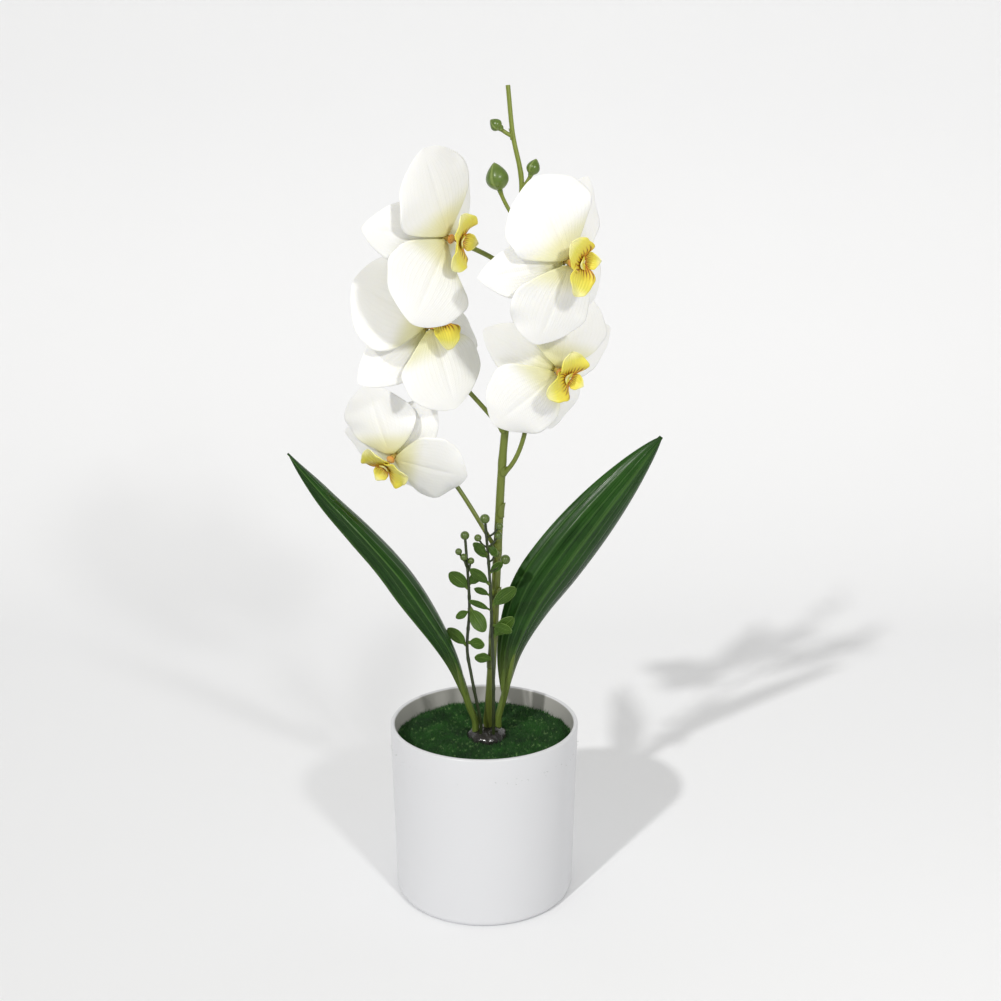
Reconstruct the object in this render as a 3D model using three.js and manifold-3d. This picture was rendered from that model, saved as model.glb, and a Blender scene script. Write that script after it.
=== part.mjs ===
// A potted orchid: five white flowers, three buds, two strap leaves and two filler sprigs,
// planted through a moss disc into the foam of a plain cylindrical pot.
// Millimetres, +Z up, origin at the centre of the pot's underside. -Y is the front.
import * as THREE from "three";
import { mergeVertices } from "three/addons/utils/BufferGeometryUtils.js";
import Module from "manifold-3d";

const wasm = await Module();
wasm.setup();

// ---------------------------------------------------------------- driving dimensions
const GAP = 0.3; // clearance between pieces that touch
const pot = {
  height: 94.5,
  topRadius: 50,
  bottomRadius: 47.7,
  wall: 2.4,
  floor: 3,
  heelRound: 3.5,
  rimRound: 0.8,
  facets: 40,
};
const moss = { depthBelowRim: 9.3, thickness: 4, crown: 1.2 };
const plug = { centre: [1.2, -1.6], radius: 11, height: 6 };
const planting = { depth: 38, riseAbovePlug: 3, straight: 3 };

// Every height of the stem, flowers, buds, leaves and sprigs is measured from the moss.
const mainStem = {
  foot: [2, 0],
  footRadius: 2.3,
  tipRadius: 1.1,
  sides: 8,
  steps: 24,
  route: [
    [2.4, 0, 14.8],
    [4.8, 0, 53.8],
    [7.4, 0, 108.8],
    [10, 0, 154.8],
    [14.6, 0, 198.8],
    [17.2, 0, 234.8],
    [17.4, 0, 264.8],
    [18.8, 0, 287.8],
    [14.6, 0, 308.8],
    [12.2, 0, 331.3],
  ],
};
const stalk = { radius: 1.25, sides: 6, steps: 8, seatRadius: 2.6, seatLength: 2.5 };

// A flower's own frame: x to its right as it is faced, y up towards its top sepal, z forward.
const layer = { petals: 0.7, sepals: -1.7, sheet: 0.9, hole: 2 };
const petal = { length: 41, width: 50, spread: 73, lift: -7, bend: -10, cup: -0.07, claw: 0.75 };
const sepal = { length: 42, width: 28, spread: 132, lift: -9, bend: -20, cup: -0.05, claw: 0.7 };
const lip = {
  drop: 4,
  reach: 4.2,
  sheet: 1,
  tipPower: 0.95,
  ear: { length: 17, width: 15, spread: 50, lift: 40, bend: -38, cup: 0.28, claw: 0.45 },
  hood: { length: 7, width: 6, spread: 0, lift: 66, bend: -40, cup: 0.3, claw: 0.7 },
  tongue: { length: 9, width: 8, spread: 180, lift: 36, bend: 30, cup: 0.3, claw: 0.7 },
};
const column = { radius: 1.6, back: -2.8, neck: 3.7, capRadius: 2.3, capLength: 2.2, sides: 8 };

// Where each flower stands, the way it faces and where its stalk leaves the stem.
// yaw turns it to the right, pitch tips it up and roll turns its top sepal to the left (degrees).
// The left and right petal each swing about the flower's middle, lift forward and twist.
// A stalk leaves the stem at a height, turned a little from the straight way to its flower, with
// a length out and up; it arrives from behind, from below and from the side of the flower.
const flowers = [
  {
    name: "flower_a",
    at: [-15.6, -42, 261.6],
    yaw: 56,
    pitch: -12,
    roll: 88,
    leaves: { height: 238.8, turn: 12, out: 8, up: 16 },
    arrives: { behind: 22.1, below: 10.9, beside: -2.2 },
    size: 1,
    swing: [-11, 14],
    lifts: [16, 4],
    twists: [18, 0],
  },
  {
    name: "flower_b",
    at: [39, -53, 251.6],
    yaw: 38,
    pitch: -10,
    roll: 104,
    leaves: { height: 232.1, turn: 6, out: 23.6, up: 11.2 },
    arrives: { behind: 29.9, below: 6.6, beside: -19.7 },
    size: 0.95,
    swing: [-6, 0],
    lifts: [0, 0],
    twists: [0, 0],
  },
  {
    name: "flower_c",
    at: [-25.5, -20, 220.3],
    yaw: 40,
    pitch: 13,
    roll: 124,
    leaves: { height: 165.8, turn: -21, out: 8.6, up: 12.6 },
    arrives: { behind: 10.2, below: -1.1, beside: -3.2 },
    size: 1,
    swing: [0, 6],
    lifts: [4, 4],
    twists: [0, 0],
  },
  {
    name: "flower_d",
    at: [36.5, -18, 198.3],
    yaw: 28,
    pitch: -15,
    roll: 64,
    leaves: { height: 143.8, turn: 2, out: 20, up: 17 },
    arrives: { behind: 21, below: -3, beside: -5 },
    size: 0.95,
    swing: [0, -4],
    lifts: [0, -4],
    twists: [0, 0],
  },
  {
    name: "flower_e",
    at: [-45.5, -4, 153.3],
    yaw: -28,
    pitch: -30,
    roll: -42,
    leaves: { height: 104.8, turn: -10, out: 10.7, up: 16.5 },
    arrives: { behind: 21.6, below: -3.3, beside: 6.7 },
    size: 0.9,
    swing: [-18, 0],
    lifts: [-6, -2],
    twists: [0, 0],
  },
];

const buds = [
  { name: "bud_large", from: [17.2, -1, 266.8], base: [8.4, -3, 283], tip: [5.6, -4, 296], radius: 5.6 },
  { name: "bud_right", from: [18.8, 0, 283.8], base: [23.2, -1, 290.2], tip: [25.9, -1, 297.8], radius: 3.3 },
  { name: "bud_small", from: [14.2, 0, 307.8], base: [8.8, -1, 311.4], tip: [3.8, -1, 315.6], radius: 3 },
];
const budStalkRadius = 1;

const leafSheet = 1.3;
const leaves = [
  {
    name: "leaf_left",
    foot: [-4.6, -3],
    width: 37,
    neck: 0.42,
    fold: 34,
    sideAtBase: [0.55, -0.8, 0.1],
    sideAtTip: [0.5, -0.86, 0.1],
    route: [
      [-8.4, -4.6, 20.8],
      [-14, -7, 44.8],
      [-25, -10, 71.8],
      [-39.5, -14, 97.8],
      [-56, -17, 117.8],
      [-75, -20, 137.3],
      [-95, -22, 158.6],
    ],
  },
  {
    name: "leaf_right",
    foot: [7.4, 2.4],
    width: 40,
    neck: 0.6,
    fold: 30,
    sideAtBase: [-0.78, -0.5, 0.35],
    sideAtTip: [-0.72, -0.25, 0.6],
    route: [
      [10.6, 4, 20.8],
      [16, 7, 44.8],
      [27.5, 10, 68.8],
      [43, 13, 90.8],
      [60, 16, 113.8],
      [77, 18, 136.8],
      [93, 20, 158.8],
    ],
  },
];
const petiole = { radius: 1.9, sides: 8 };

// A filler sprig: spoon leaves [from, to, width] and berries [centre, radius] along its stem.
const sprigStemRadius = 0.95;
const sprigs = [
  {
    name: "sprig_left",
    foot: [-1.6, -7.4],
    route: [
      [-6.4, -8, 36.8],
      [-8.6, -8, 51.8],
      [-7.3, -8, 74.8],
      [-8.2, -8, 95.8],
      [-9.2, -8, 110.8],
    ],
    spoons: [
      [[-8.6, -8, 53.8], [-18.6, -9, 63.8], 6.2],
      [[-8.5, -8, 55.8], [0.4, -12, 55.8], 6.2],
      [[-7.4, -8, 72.8], [-14.2, -10, 69.8], 4.2],
      [[-7.4, -8, 74.8], [0.6, -14, 63.8], 8],
      [[-7.4, -8, 84.8], [-17.4, -9, 93.8], 7.4],
      [[-7.8, -8, 86.8], [-1.4, -9, 93.8], 5.6],
    ],
    berries: [
      [[-9.4, -8, 113.2], 2.3],
      [[-12.6, -8.5, 104.8], 1.8],
      [[-10, -9.5, 102.2], 1.9],
      [[-6.4, -8, 99.8], 1.8],
    ],
  },
  {
    name: "sprig_right",
    foot: [5, -7],
    route: [
      [5, -7, 36.8],
      [4.2, -6.5, 64.8],
      [3, -7, 92.8],
      [1, -8, 119.8],
    ],
    spoons: [
      [[4.6, -6.7, 45.8], [-4.6, -11, 48.8], 5.6],
      [[4.4, -6.6, 57.8], [15.4, -9, 69.8], 7.4],
      [[3.9, -6.6, 74.8], [16.4, -9, 85.8], 7.4],
      [[2.6, -7.4, 100.8], [-4.6, -8.5, 107.8], 4.6],
    ],
    berries: [
      [[0.8, -9, 122.2], 2.5],
      [[8.2, -9, 118.2], 1.9],
      [[7.6, -9, 113.4], 2],
      [[-2.8, -9, 112.2], 1.9],
      [[11.2, -9, 100.8], 2.5],
      [[6.2, -9, 103.8], 1.9],
    ],
  },
];

const colours = {
  pot: { color: 0xe6e6e8, roughness: 0.45 },
  foam: { color: 0xd8dcc8, roughness: 0.95 },
  moss: { color: 0x1d5a1c, roughness: 0.95 },
  plug: { color: 0x2b2a1c, roughness: 0.3 },
  stem: { color: 0x7d8a2c, roughness: 0.45 },
  bud: { color: 0x6b8f2f, roughness: 0.4 },
  petal: { color: 0xf6f6f4, roughness: 0.7 },
  lip: { color: 0xd9cb45, roughness: 0.5 },
  column: { color: 0xe2a33a, roughness: 0.5 },
  leaf: { color: 0x1f4a1e, roughness: 0.35 },
  sprig: { color: 0x4f7a2c, roughness: 0.45 },
};

// ---------------------------------------------------------------- helpers
const rad = THREE.MathUtils.degToRad;
const vec = (p) => new THREE.Vector3(...p);
const mossTop = pot.height - moss.depthBelowRim;
// A point of the plant, whose heights are all measured from the moss.
const planted = ([x, y, z]) => new THREE.Vector3(x, y, mossTop + z);

function meshOf(name, geometry, colour) {
  const material = new THREE.MeshStandardMaterial({ metalness: 0, ...colours[colour] });
  const mesh = new THREE.Mesh(geometry, material);
  mesh.name = name;
  return mesh;
}

// Points and triangles as a geometry whose faces point out.
function closedGeometry(points, faces) {
  let volume = 0;
  for (const [a, b, c] of faces) {
    volume += points[a].dot(new THREE.Vector3().crossVectors(points[b], points[c]));
  }
  const outward = volume < 0 ? faces.map(([a, b, c]) => [a, c, b]) : faces;
  const geometry = new THREE.BufferGeometry().setFromPoints(points);
  geometry.setIndex(outward.flat());
  return geometry;
}

// A sheet of even thickness over surface(t, v), t from 0 to 1 along it and v from -1 to 1 across.
function sheet(surface, along, across, thickness) {
  const points = [];
  const step = 1e-3;
  for (const side of [0.5, -0.5]) {
    for (let i = 0; i <= along; i += 1) {
      for (let j = 0; j <= across; j += 1) {
        const t = THREE.MathUtils.clamp(i / along, 2 * step, 1 - 2 * step);
        const v = (2 * j) / across - 1;
        const alongEdge = surface(t + step, v).sub(surface(t - step, v));
        const acrossEdge = surface(t, v + step).sub(surface(t, v - step));
        const normal = alongEdge.cross(acrossEdge).normalize();
        points.push(surface(i / along, v).addScaledVector(normal, side * thickness));
      }
    }
  }
  const row = across + 1;
  const back = row * (along + 1);
  const faces = [];
  const quad = (a, b, c, d) => faces.push([a, b, c], [a, c, d]);
  for (let i = 0; i < along; i += 1) {
    for (let j = 0; j < across; j += 1) {
      const k = i * row + j;
      quad(k, k + 1, k + row + 1, k + row);
      quad(back + k, back + k + row, back + k + row + 1, back + k + 1);
    }
  }
  for (let i = 0; i < along; i += 1) {
    const k = i * row;
    quad(k, k + row, back + k + row, back + k);
    quad(k + across, back + k + across, back + k + row + across, k + row + across);
  }
  for (let j = 0; j < across; j += 1) {
    const k = along * row + j;
    quad(j, back + j, back + j + 1, j + 1);
    quad(k, k + 1, back + k + 1, back + k);
  }
  return closedGeometry(points, faces);
}

// A round tube along a curve, with radius(t) and flat ends.
function tube(curve, radius, sides, steps) {
  const frames = curve.computeFrenetFrames(steps);
  const points = [];
  for (let i = 0; i <= steps; i += 1) {
    const centre = curve.getPointAt(i / steps);
    for (let j = 0; j < sides; j += 1) {
      const angle = (2 * Math.PI * j) / sides;
      const r = radius(i / steps);
      const point = centre.clone().addScaledVector(frames.normals[i], r * Math.cos(angle));
      points.push(point.addScaledVector(frames.binormals[i], r * Math.sin(angle)));
    }
  }
  const first = points.push(curve.getPointAt(0)) - 1;
  const last = points.push(curve.getPointAt(1)) - 1;
  const faces = [];
  for (let i = 0; i < steps; i += 1) {
    for (let j = 0; j < sides; j += 1) {
      const k = i * sides + j;
      const next = i * sides + ((j + 1) % sides);
      faces.push([k, next, next + sides], [k, next + sides, k + sides]);
    }
  }
  for (let j = 0; j < sides; j += 1) {
    const next = (j + 1) % sides;
    const end = steps * sides;
    faces.push([first, next, j], [last, end + j, end + next]);
  }
  return closedGeometry(points, faces);
}

const spline = (points) => new THREE.CatmullRomCurve3(points.map(planted), false, "centripetal");

function lathe(profile, facets) {
  const geometry = new THREE.LatheGeometry(profile.map(([r, z]) => new THREE.Vector2(r, z)), facets);
  return geometry.rotateX(Math.PI / 2);
}

function cylinder(radius, low, high, sides = 12) {
  return lathe([[0, low], [radius, low], [radius, high], [0, high]], sides);
}

// ---------------------------------------------------------------- joining and cutting
function solid(geometry) {
  const bare = geometry.clone();
  bare.deleteAttribute("normal");
  bare.deleteAttribute("uv");
  const merged = mergeVertices(bare, 1e-4);
  const index = [...merged.index.array];
  const triangles = [];
  for (let i = 0; i < index.length; i += 3) {
    const [a, b, c] = index.slice(i, i + 3);
    if (a !== b && b !== c && c !== a) triangles.push(a, b, c);
  }
  return new wasm.Manifold(
    new wasm.Mesh({
      numProp: 3,
      vertProperties: merged.attributes.position.array,
      triVerts: new Uint32Array(triangles),
    }),
  );
}

function geometryOf(manifold) {
  const mesh = manifold.getMesh();
  const geometry = new THREE.BufferGeometry();
  geometry.setAttribute("position", new THREE.BufferAttribute(mesh.vertProperties.slice(), mesh.numProp));
  geometry.setIndex(new THREE.BufferAttribute(mesh.triVerts.slice(), 1));
  return geometry;
}

function joined(geometries) {
  return geometryOf(geometries.map(solid).reduce((all, next) => all.add(next)));
}

// ---------------------------------------------------------------- pot, moss, foam and plug
const footTop = GAP + plug.height + planting.riseAbovePlug;
const footBottom = -planting.depth;
const potRadiusAt = (z) => THREE.MathUtils.lerp(pot.bottomRadius, pot.topRadius, z / pot.height);
const innerRadiusAt = (z) => potRadiusAt(z) - pot.wall;

function arc(centreR, centreZ, radius, from, to, steps) {
  const points = [];
  for (let i = 0; i <= steps; i += 1) {
    const angle = rad(THREE.MathUtils.lerp(from, to, i / steps));
    points.push([centreR + radius * Math.cos(angle), centreZ + radius * Math.sin(angle)]);
  }
  return points;
}

function makePot() {
  const { height, heelRound, rimRound, floor } = pot;
  const heelRadius = potRadiusAt(heelRound);
  const rimOuter = potRadiusAt(height - rimRound);
  const rimInner = innerRadiusAt(height - rimRound);
  return lathe(
    [
      [0, 0],
      ...arc(heelRadius - heelRound, heelRound, heelRound, -90, 0, 4),
      ...arc(rimOuter - rimRound, height - rimRound, rimRound, 0, 90, 2),
      ...arc(rimInner + rimRound, height - rimRound, rimRound, 90, 180, 2),
      [innerRadiusAt(floor), floor],
      [0, floor],
    ],
    pot.facets,
  );
}

// The hole that each planted foot needs, with its clearance all round and below.
function plantingHoles(feet) {
  return feet
    .map(({ foot, radius }) => {
      const hole = cylinder(radius + GAP, mossTop + footBottom - GAP, mossTop + footTop + GAP);
      return solid(hole.translate(foot[0], foot[1], 0));
    })
    .reduce((all, next) => all.add(next));
}

function makeMoss(holes) {
  const low = mossTop - moss.thickness;
  const radius = innerRadiusAt(low) - GAP;
  const edge = mossTop - moss.crown;
  const shoulder = radius * 0.94;
  const disc = lathe(
    [
      [0, low],
      [radius, low],
      [radius, edge],
      [shoulder, mossTop],
      [0, mossTop],
    ],
    pot.facets,
  );
  return geometryOf(solid(disc).subtract(holes));
}

function makeFoam(holes) {
  const low = pot.floor + GAP;
  const high = mossTop - moss.thickness - GAP;
  const block = lathe(
    [
      [0, low],
      [innerRadiusAt(low) - GAP, low],
      [innerRadiusAt(high) - GAP, high],
      [0, high],
    ],
    pot.facets,
  );
  return geometryOf(solid(block).subtract(holes));
}

function makePlug(holes) {
  const low = mossTop + GAP;
  const crown = arc(0, 0, 1, 0, 90, 5).map(([x, z]) => [plug.radius * x, low + plug.height * z]);
  crown[crown.length - 1][0] = 0;
  const dome = lathe([[0, low], ...crown], 24).translate(...plug.centre, 0);
  return geometryOf(solid(dome).subtract(holes));
}

// ---------------------------------------------------------------- stem and stalks
const footPoints = ([x, y]) => [
  [x, y, footBottom],
  [x, y, footTop - planting.straight],
  [x, y, footTop],
];
const stemCurve = spline([...footPoints(mainStem.foot), ...mainStem.route]);
const stemRadius = (t) => {
  const slim = THREE.MathUtils.smoothstep(t, 0.3, 1);
  return THREE.MathUtils.lerp(mainStem.footRadius, mainStem.tipRadius, slim);
};

// The stem's centre and radius at a height above the moss.
function stemAt(z) {
  let low = 0;
  let high = 1;
  for (let i = 0; i < 40; i += 1) {
    const middle = (low + high) / 2;
    if (stemCurve.getPointAt(middle).z < mossTop + z) low = middle;
    else high = middle;
  }
  return { centre: stemCurve.getPointAt(low), radius: stemRadius(low) };
}

function flowerFrame({ yaw, pitch, roll }) {
  const [a, b, c] = [yaw, pitch, roll].map(rad);
  const front = new THREE.Vector3(Math.sin(a) * Math.cos(b), -Math.cos(a) * Math.cos(b), Math.sin(b));
  const level = new THREE.Vector3(0, 0, 1).addScaledVector(front, -front.z).normalize();
  const right = new THREE.Vector3().crossVectors(level, front);
  const up = level.clone().multiplyScalar(Math.cos(c)).addScaledVector(right, -Math.sin(c));
  return { front, up, side: new THREE.Vector3().crossVectors(up, front) };
}

// A stalk leaves the stem and ends in a small seat behind its flower.
function makeStalk(flower) {
  const { leaves, arrives } = flower;
  const { front, up, side } = flowerFrame(flower);
  const end = planted(flower.at).addScaledVector(front, column.back - GAP);
  const neck = end.clone().addScaledVector(front, -stalk.seatLength);
  const { centre, radius } = stemAt(leaves.height);
  const away = end.clone().sub(centre).setZ(0).normalize();
  away.applyAxisAngle(new THREE.Vector3(0, 0, 1), rad(leaves.turn));
  const start = centre.addScaledVector(away, radius + GAP + stalk.radius * 0.6);
  const first = start.clone().addScaledVector(away, leaves.out);
  first.z += leaves.up;
  const last = neck.clone().addScaledVector(front, -arrives.behind);
  last.addScaledVector(up, -arrives.below).addScaledVector(side, arrives.beside);
  const curve = new THREE.CurvePath();
  curve.add(new THREE.CubicBezierCurve3(start, first, last, neck));
  curve.add(new THREE.LineCurve3(neck, end));
  const length = curve.getLength();
  const flare = (t) => {
    const swell = THREE.MathUtils.clamp(1 - ((1 - t) * length) / stalk.seatLength, 0, 1);
    return THREE.MathUtils.lerp(stalk.radius, stalk.seatRadius, swell);
  };
  return tube(curve, flare, stalk.sides, stalk.steps);
}

function makeBud({ from, base, tip, radius }) {
  const axis = planted(tip).sub(planted(base));
  const length = axis.length();
  const profile = [];
  for (let i = 0; i <= 8; i += 1) {
    const t = i / 8;
    profile.push([radius * Math.sin(Math.PI * t ** 0.8) ** 0.8, length * t]);
  }
  profile[0][0] = 0;
  profile[8][0] = 0;
  const upright = new THREE.Vector3(0, 0, 1);
  const turn = new THREE.Quaternion().setFromUnitVectors(upright, axis.clone().normalize());
  const egg = lathe(profile, 10).applyQuaternion(turn).translate(...planted(base));
  const { centre, radius: stemSize } = stemAt(from[2]);
  const away = planted(base).sub(centre).normalize();
  const start = centre.addScaledVector(away, stemSize + GAP + budStalkRadius * 1.7);
  const end = planted(base).addScaledVector(axis, 0.15);
  const bend = planted(base).addScaledVector(axis, -0.35);
  const neck = new THREE.QuadraticBezierCurve3(start, bend, end);
  return joined([egg, tube(neck, () => budStalkRadius, 6, 4)]);
}

// ---------------------------------------------------------------- flowers
// The blade's half width at t, from a narrow claw through its widest part to its rounded tip.
function bladeWidth(t, shape, tipPower, fullness) {
  const body = Math.sin(Math.PI * THREE.MathUtils.clamp(t, 0.02, 0.985) ** tipPower) ** fullness;
  const claw = THREE.MathUtils.lerp(shape.claw, 1, THREE.MathUtils.smoothstep(t, 0, 0.35));
  return Math.max((shape.width / 2) * body * claw, 1.2);
}

// A blade in the flower's plane at an angle from its top, lifted and bent out of the plane.
function blade(shape, at) {
  const { angle, lift, bend, start, height, tipPower, fullness } = at;
  const { twist = 0, foot = [0, 0] } = at;
  const along = new THREE.Vector3(-Math.sin(rad(angle)), Math.cos(rad(angle)), 0);
  const across = new THREE.Vector3(-Math.cos(rad(angle)), -Math.sin(rad(angle)), 0);
  const forward = new THREE.Vector3(0, 0, 1);
  const steps = 24;
  const path = [[start, height]];
  for (let i = 1; i <= steps; i += 1) {
    const slope = rad(lift + (bend * i) / steps);
    const [x, z] = path[i - 1];
    path.push([x + (Math.cos(slope) * shape.length) / steps, z + (Math.sin(slope) * shape.length) / steps]);
  }
  return (t, v) => {
    const k = THREE.MathUtils.clamp(t * steps, 0, steps - 1e-6);
    const i = Math.floor(k);
    const x = THREE.MathUtils.lerp(path[i][0], path[i + 1][0], k - i);
    const z = THREE.MathUtils.lerp(path[i][1], path[i + 1][1], k - i);
    const slope = rad(lift + bend * t);
    const half = bladeWidth(t, shape, tipPower, fullness);
    const rise = shape.cup * half * v * v;
    const turn = rad(twist) * THREE.MathUtils.smoothstep(t, 0, 0.4);
    const out = half * v * Math.sin(turn) + rise * Math.cos(turn);
    return new THREE.Vector3(foot[0], foot[1], 0)
      .addScaledVector(along, x - Math.sin(slope) * out)
      .addScaledVector(across, half * v * Math.cos(turn) - rise * Math.sin(turn))
      .addScaledVector(forward, z + Math.cos(slope) * out);
  };
}

function makeTepal(shape, size, { angle, lift, twist, height, rounded }) {
  const sized = { ...shape, length: shape.length * size, width: shape.width * size };
  const surface = blade(sized, {
    angle,
    lift,
    twist,
    bend: shape.bend,
    start: layer.hole,
    height,
    tipPower: rounded ? 0.98 : 0.86,
    fullness: rounded ? 0.62 : 0.72,
  });
  return sheet(surface, 7, 4, layer.sheet);
}

// Two ears stand up beside a small hood, and a pointed tongue hangs from the same root.
function makeLip() {
  const lobe = (shape, side, fullness, along, across) => {
    const surface = blade(shape, {
      angle: side * shape.spread,
      lift: shape.lift,
      bend: shape.bend,
      start: 0,
      height: lip.reach,
      tipPower: lip.tipPower,
      fullness,
      foot: [0, -lip.drop],
    });
    return sheet(surface, along, across, lip.sheet);
  };
  const lobes = [
    lobe(lip.ear, 1, 0.62, 5, 3),
    lobe(lip.ear, -1, 0.62, 5, 3),
    lobe(lip.hood, 1, 0.62, 3, 2),
    lobe(lip.tongue, 1, 0.8, 3, 2),
  ];
  const root = new THREE.Vector3(0, -layer.hole - 1.6, layer.petals + layer.sheet + GAP + 0.4);
  const bowl = new THREE.Vector3(0, -lip.drop - 0.6, lip.reach + 0.6);
  const claw = tube(new THREE.LineCurve3(root, bowl), (t) => 1.2 + 0.7 * t, 6, 2);
  return joined([...lobes, claw]);
}

// The column runs through the ring of petals and ends in a rounded cap.
function makeColumn() {
  const { radius, back, neck, capRadius, capLength, sides } = column;
  const capStart = layer.sepals - layer.sheet / 2 + neck;
  const cap = arc(0, 0, 1, -45, 70, 3).map(([x, z]) => [
    capRadius * x,
    capStart + (capLength * (1 + z)) / 2,
  ]);
  return lathe([[0, back], [radius, back], [radius, capStart], ...cap, [0, capStart + capLength]], sides);
}

function makeFlower(flower) {
  const group = new THREE.Group();
  const { front, up, side } = flowerFrame(flower);
  group.setRotationFromMatrix(new THREE.Matrix4().makeBasis(side, up, front));
  group.position.copy(planted(flower.at));
  const [leftSwing, rightSwing] = flower.swing;
  const [leftLift, rightLift] = flower.lifts;
  const [leftTwist, rightTwist] = flower.twists;
  const parts = [
    ["petal_left", petal, petal.spread + leftSwing, leftLift, leftTwist],
    ["petal_right", petal, -petal.spread + rightSwing, rightLift, rightTwist],
    ["sepal_top", sepal, 0, 0, 0],
    ["sepal_left", sepal, sepal.spread, 0, 0],
    ["sepal_right", sepal, -sepal.spread, 0, 0],
  ];
  for (const [name, shape, angle, lift, twist] of parts) {
    const rounded = shape === petal;
    const height = rounded ? layer.petals : layer.sepals;
    const pose = { angle, lift: shape.lift + lift, twist, height, rounded };
    const geometry = makeTepal(shape, flower.size, pose);
    group.add(meshOf(`${flower.name}_${name}`, geometry, "petal"));
  }
  group.add(meshOf(`${flower.name}_lip`, makeLip(), "lip"));
  group.add(meshOf(`${flower.name}_column`, makeColumn(), "column"));
  return group;
}

// ---------------------------------------------------------------- leaves and sprigs
function makeLeaf({ foot, width, neck, fold, sideAtBase, sideAtTip, route }) {
  const curve = spline([[...foot, footTop], ...route]);
  const baseSide = vec(sideAtBase).normalize();
  const tipSide = vec(sideAtTip).normalize();
  const surface = (t, v) => {
    const along = THREE.MathUtils.lerp(0.06, 1, t);
    const tangent = curve.getTangentAt(Math.min(along, 1));
    const side = baseSide.clone().lerp(tipSide, t);
    side.addScaledVector(tangent, -side.dot(tangent)).normalize();
    const face = new THREE.Vector3().crossVectors(side, tangent).normalize();
    const body = Math.sin(Math.PI * THREE.MathUtils.clamp(t, 0.01, 0.99) ** 0.9) ** 0.75;
    const widening = THREE.MathUtils.lerp(neck, 1, THREE.MathUtils.smoothstep(t, 0, 0.45));
    const half = Math.max((width / 2) * body * widening, 1.4);
    const raised = rad(fold) * Math.min(1, Math.abs(v));
    return curve
      .getPointAt(Math.min(along, 1))
      .addScaledVector(side, half * v * Math.cos(raised))
      .addScaledVector(face, half * Math.abs(v) * Math.sin(raised));
  };
  const stalkCurve = spline([...footPoints(foot), route[0], route[1]]);
  const stalkTube = tube(stalkCurve, () => petiole.radius, petiole.sides, 6);
  return joined([sheet(surface, 14, 4, leafSheet), stalkTube]);
}

function makeSpoon([from, to, width]) {
  const start = planted(from);
  const axis = planted(to).sub(start);
  const length = axis.length();
  const along = axis.clone().normalize();
  const across = new THREE.Vector3(0, -1, 0).cross(along).normalize();
  const face = new THREE.Vector3().crossVectors(across, along).normalize();
  const surface = (t, v) => {
    const body = Math.sin(Math.PI * THREE.MathUtils.clamp(t, 0.04, 0.97)) ** 0.6;
    const half = Math.max((width / 2) * body, 0.5);
    return start
      .clone()
      .addScaledVector(along, length * t)
      .addScaledVector(across, half * v)
      .addScaledVector(face, 0.8 * Math.sin(Math.PI * t) - 0.12 * half * v * v);
  };
  return sheet(surface, 4, 2, 1);
}

function makeSprig({ foot, route, spoons, berries }) {
  const curve = spline([...footPoints(foot), ...route]);
  const parts = [tube(curve, () => sprigStemRadius, 5, 12), ...spoons.map(makeSpoon)];
  for (const [centre, radius] of berries) {
    const goal = planted(centre);
    const ball = new THREE.SphereGeometry(radius, 6, 4).translate(...goal);
    let nearest = curve.getPointAt(1);
    for (let t = 0.5; t < 1; t += 0.02) {
      const point = curve.getPointAt(t);
      const target = goal.clone().add(new THREE.Vector3(0, 0, -6));
      if (point.distanceTo(target) < nearest.distanceTo(target)) nearest = point;
    }
    if (nearest.distanceTo(goal) > radius) {
      parts.push(tube(new THREE.LineCurve3(nearest, goal), () => 0.6, 5, 1));
    }
    parts.push(ball);
  }
  return joined(parts);
}

// ---------------------------------------------------------------- the whole plant
const feet = [
  { foot: mainStem.foot, radius: mainStem.footRadius },
  ...leaves.map(({ foot }) => ({ foot, radius: petiole.radius })),
  ...sprigs.map(({ foot }) => ({ foot, radius: sprigStemRadius })),
];
const holes = plantingHoles(feet);

const orchid = new THREE.Group();
orchid.add(meshOf("pot", makePot(), "pot"));
orchid.add(meshOf("foam_filler", makeFoam(holes), "foam"));
orchid.add(meshOf("moss_disc", makeMoss(holes), "moss"));
orchid.add(meshOf("stem_plug", makePlug(holes), "plug"));
orchid.add(meshOf("flower_stem", tube(stemCurve, stemRadius, mainStem.sides, mainStem.steps), "stem"));
for (const flower of flowers) {
  orchid.add(meshOf(`${flower.name}_stalk`, makeStalk(flower), "stem"));
  orchid.add(makeFlower(flower));
}
for (const bud of buds) orchid.add(meshOf(bud.name, makeBud(bud), "bud"));
for (const leaf of leaves) orchid.add(meshOf(leaf.name, makeLeaf(leaf), "leaf"));
for (const sprig of sprigs) orchid.add(meshOf(sprig.name, makeSprig(sprig), "sprig"));

export default orchid;
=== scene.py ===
"""The potted orchid's finish: moulded petals, lips, leaves, moss and pot around the solid model.

Shapes are worked out in millimetres and stored in metres. Finishes, the moss tree's counts,
the backdrop, the lights and the camera are in metres.
"""

import math
import random

import bmesh
import bpy
from mathutils import Matrix, Vector, noise


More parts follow.
